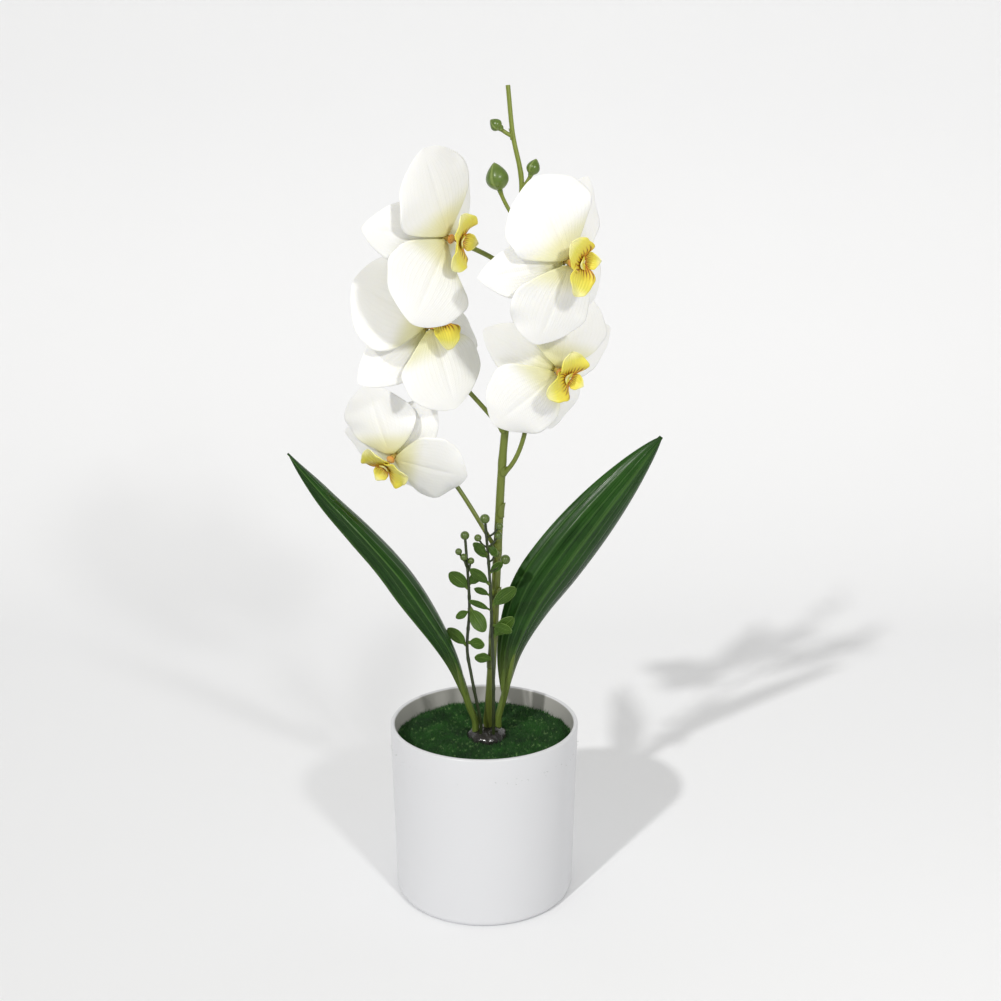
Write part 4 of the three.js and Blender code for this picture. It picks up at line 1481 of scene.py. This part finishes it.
def make_leaf(leaf):
    """A folded strap on a round foot; sides give the way its width runs at foot and tip."""
    path = spline([(*leaf["foot"], foot_top), *leaf["route"]])
    base_side, tip_side = (Vector(s).normalized() for s in leaf["sides"])
    width, fold = leaf["width"], math.radians(leaf["fold"])
    draw = random.Random(leaf["name"])
    phases = [draw.uniform(0, 6.28) for _ in range(2)]

    def surface(t, v):
        along = mix(0.06, 1, t)
        tangent = (path(along + 0.004) - path(along - 0.004)).normalized()
        side = base_side.lerp(tip_side, clamp(t))
        side = (side - tangent * side.dot(tangent)).normalized()
        face = side.cross(tangent).normalized()
        body = math.sin(math.pi * clamp(t, 0.008, 0.996) ** 0.9) ** 0.75
        half = max(width / 2 * body * mix(leaf["neck"], 1, ease(t, 0, 0.45)), 1.1)
        raised = fold * min(1.0, abs(v))
        soft = math.sqrt(v * v + 0.006) - 0.05
        lift = half * soft * math.sin(raised)
        midrib = math.exp(-((v / 0.06) ** 2)) * ease(t, 0.05, 0.2) * (1 - ease(t, 0.85, 1.0))
        edge_wave = abs(v) ** 3 * math.sin(9 * t + phases[0 if v < 0 else 1])
        veins = math.cos(v * 26) * ease(t, 0.08, 0.3) * (1 - ease(t, 0.8, 1.0))
        lift += EDGE_WAVE * edge_wave + VEIN_RIDGE * veins - MIDRIB_DEPTH * midrib
        return path(along) + side * (half * v * math.cos(raised)) + face * lift

    def thickness(t, v):
        return mix(1.25, 0.45, max(abs(v) ** 2.5, ease(t, 0.85, 1)))

    def stalk_radius(t):
        return 1.9 * (1 - 0.45 * ease(t, 0.8, 1))

    strap = sheet(surface, 96, 44, thickness)
    stalk_path = spline([*foot_points(leaf["foot"]), leaf["route"][0], leaf["route"][1]])
    points, faces, coordinates = tube_shell(stalk_path, stalk_radius, 20, 44)
    stalk = (points, faces, [(across, 0.0) for across, _ in coordinates])
    mesh = mesh_from(leaf["name"] + "_moulded", [strap, stalk], finishes["leaf"])
    finish(mesh, leaf["name"] + "_moulded", "leaf", leaf["name"])


for leaf in LEAVES:
    make_leaf(leaf)

# ------------------------------------------------------------------ filler sprigs
# spoons: each little leaf's start, tip and width; small_spoons crowd the upper half.
# berries: each one's centre and radius.
SPRIGS = [
    {
        "name": "sprig_left",
        "foot": (-1.6, -7.4),
        "route": [
            (-6.4, -8, 122),
            (-8.6, -8, 137),
            (-7.3, -8, 160),
            (-8.2, -8, 181),
            (-9.2, -8, 196),
        ],
        "spoons": [
            ((-8.6, -8, 139), (-18.6, -9, 149), 6.2),
            ((-8.5, -8, 141), (0.4, -12, 141), 6.2),
            ((-7.4, -8, 158), (-14.2, -10, 155), 4.2),
            ((-7.4, -8, 160), (0.6, -14, 149), 8),
            ((-7.4, -8, 170), (-17.4, -9, 179), 7.4),
            ((-7.8, -8, 172), (-1.4, -9, 179), 5.6),
        ],
        "small_spoons": [],
        "berries": [
            ((-9.4, -8, 198.4), 2.3),
            ((-12.6, -8.5, 190), 1.8),
            ((-10, -9.5, 187.4), 1.9),
            ((-6.4, -8, 185), 1.8),
        ],
    },
    {
        "name": "sprig_right",
        "foot": (5, -7),
        "route": [(5, -7, 122), (4.2, -6.5, 150), (3, -7, 178), (1, -8, 205)],
        "spoons": [
            ((4.6, -6.7, 131), (-4.6, -11, 134), 5.6),
            ((4.4, -6.6, 143), (15.4, -9, 155), 7.4),
            ((3.9, -6.6, 160), (16.4, -9, 171), 7.4),
            ((2.6, -7.4, 186), (-4.6, -8.5, 193), 4.6),
        ],
        "small_spoons": [
            ((2.2, -7.6, 188), (-5.0, -12, 195.5), 4.2),
            ((3.2, -7.2, 172), (-6.6, -12.5, 182), 5.4),
            ((3.4, -7, 166), (-4.6, -12, 171.5), 3.6),
            ((3.8, -6.8, 158), (-7.4, -12, 165), 3.4),
            ((4.2, -6.6, 150), (14.6, -12.5, 148.4), 5.2),
            ((2, -7.6, 193), (6.8, -12, 189), 4.2),
            ((3, -7.2, 178), (9.6, -11, 185), 4.4),
        ],
        "berries": [
            ((0.8, -9, 207.4), 2.5),
            ((8.2, -9, 203.4), 1.9),
            ((7.6, -9, 198.6), 2),
            ((-2.8, -9, 197.4), 1.9),
            ((11.2, -9, 186), 2.5),
            ((6.2, -9, 189), 1.9),
        ],
    },
]


def make_spoon(start, end, width, seed):
    """A small rounded leaf on a short stalk of its own, cupped and a little wavy."""
    start, end = Vector(start), Vector(end)
    axis = end - start
    length = axis.length
    along = axis.normalized()
    across = Vector((0, -1, 0)).cross(along).normalized()
    face = across.cross(along).normalized()
    wave = ruffle(seed, 0.22, 0.22)

    def surface(t, v):
        blade_t = clamp((t - 0.14) / 0.86)
        half = max(width / 2 * math.sin(math.pi * clamp(blade_t, 0.03, 0.998)) ** 0.52, 0.42)
        lift = 0.8 * math.sin(math.pi * t) - 0.12 * half * v * v + wave(t, v) * ease(t, 0.1, 0.3)
        return start + along * (length * t) + across * (half * v) + face * lift

    return sheet(surface, 28, 12, thin_rim(0.85, 0.35), 1.5)


def berry(centre, radius):
    """A round berry with a small puckered crown."""
    profile = [(0, -radius)]
    rings = 14
    for i in range(1, rings - 1):
        a = math.pi * i / rings
        profile.append((radius * math.sin(a), -radius * math.cos(a)))
    profile += [(radius * 0.22, radius * 0.93), (0.0, radius * 0.8)]
    return placed(turned(profile, 22), Matrix.Translation(centre))


def make_sprig(sprig):
    """A jointed twig with its little leaves, and a berry at the end of each side twig."""
    name = sprig["name"]
    path = spline([*foot_points(sprig["foot"]), *sprig["route"]])
    stems = [stalk_mesh(name + "_core", path, lambda t: mix(0.95, 0.72, t), 110, 12, 17.0, 0.12)]
    for centre, radius in sprig["berries"]:
        goal = Vector(centre)
        below = goal - UP * 6
        near = min((path(0.5 + i / 60) for i in range(31)), key=lambda p: (p - below).length)
        if (near - goal).length > radius:
            bow = (near + goal) / 2 + Vector((0, -0.6, -0.8))
            twig = spline([near, bow, goal])
            stems.append(stalk_mesh(name + "_twig", twig, lambda t: 0.55, 14, 8))
    for mesh in stems:
        mesh.materials.clear()
        mesh.materials.append(finishes["twig"])
    wanted = sprig["spoons"] + sprig["small_spoons"]
    spoons = [make_spoon(*spoon, f"{name}{n}") for n, spoon in enumerate(wanted)]
    berries = [berry(*b) for b in sprig["berries"]]
    meshes = [
        *stems,
        mesh_from(name + "_spoons", spoons, finishes["spoon"]),
        mesh_from(name + "_berries", berries, finishes["berry"]),
    ]
    finish(joined_mesh(name + "_finished", meshes), name + "_finished", "sprig", name)


for sprig in SPRIGS:
    make_sprig(sprig)


# ------------------------------------------------------------------ floor, backdrop, lights, camera
def backdrop_finish():
    """Matte, slightly uneven pale card."""
    f = Finish("pale_card", Roughness=0.8)
    f.set("Base Color", f.blend(f.noise(3, 2), (0.855, 0.862, 0.88), (0.875, 0.882, 0.90)))
    return f.material


def make_backdrop():
    """A pale floor that sweeps up into a wall behind."""
    half_width, front, back, bend, top = 3.0, -2.5, 0.9, 0.5, 3.0
    profile = [(front, 0.0)]
    for i in range(17):
        a = math.radians(90 * i / 16)
        profile.append((back - bend + bend * math.sin(a), bend - bend * math.cos(a)))
    profile.append((back, top))
    mesh = bpy.data.meshes.new("backdrop")
    points = [(x, y, z) for y, z in profile for x in (-half_width, half_width)]
    faces = [(2 * i, 2 * i + 1, 2 * i + 3, 2 * i + 2) for i in range(len(profile) - 1)]
    mesh.from_pydata(points, [], faces)
    mesh.shade_smooth()
    mesh.materials.append(backdrop_finish())
    floor = bpy.data.objects.new("backdrop", mesh)
    bpy.context.scene.collection.objects.link(floor)


def add_light(name, kind, energy, place, aim, **settings):
    """A light at a place, turned towards an aim."""
    data = bpy.data.lights.new(name, kind)
    data.energy = energy
    for key, value in settings.items():
        setattr(data, key, value)
    light = bpy.data.objects.new(name, data)
    light.location = place
    light.rotation_euler = (Vector(aim) - Vector(place)).to_track_quat("-Z", "Y").to_euler()
    bpy.context.scene.collection.objects.link(light)


def set_stage():
    make_backdrop()
    lamp = {"color": (1.0, 0.99, 0.97)}
    add_light("key", "SUN", 1.5, (-0.65, -1.0, 1.05), (0, 0, 0.25), angle=math.radians(2.5), **lamp)
    add_light("front", "AREA", 3.3, (0.40, -0.78, 0.70), (0, 0, 0.33), size=0.08, **lamp)
    world = bpy.data.worlds.new("studio")
    world.use_nodes = True
    background = world.node_tree.nodes["Background"]
    background.inputs["Color"].default_value = (1.0, 0.985, 0.94, 1)
    background.inputs["Strength"].default_value = 0.45
    scene = bpy.context.scene
    scene.world = world
    scene.view_settings.view_transform = "Standard"
    look_down = 13.4
    camera = bpy.data.objects.new("camera", bpy.data.cameras.new("camera"))
    camera.data.lens = 43.16
    camera.data.sensor_width = 36
    camera.location = (0.0087, -0.597, 0.357)
    camera.rotation_euler = (math.radians(90 - look_down), 0, 0)
    scene.collection.objects.link(camera)
    scene.camera = camera


set_stage()
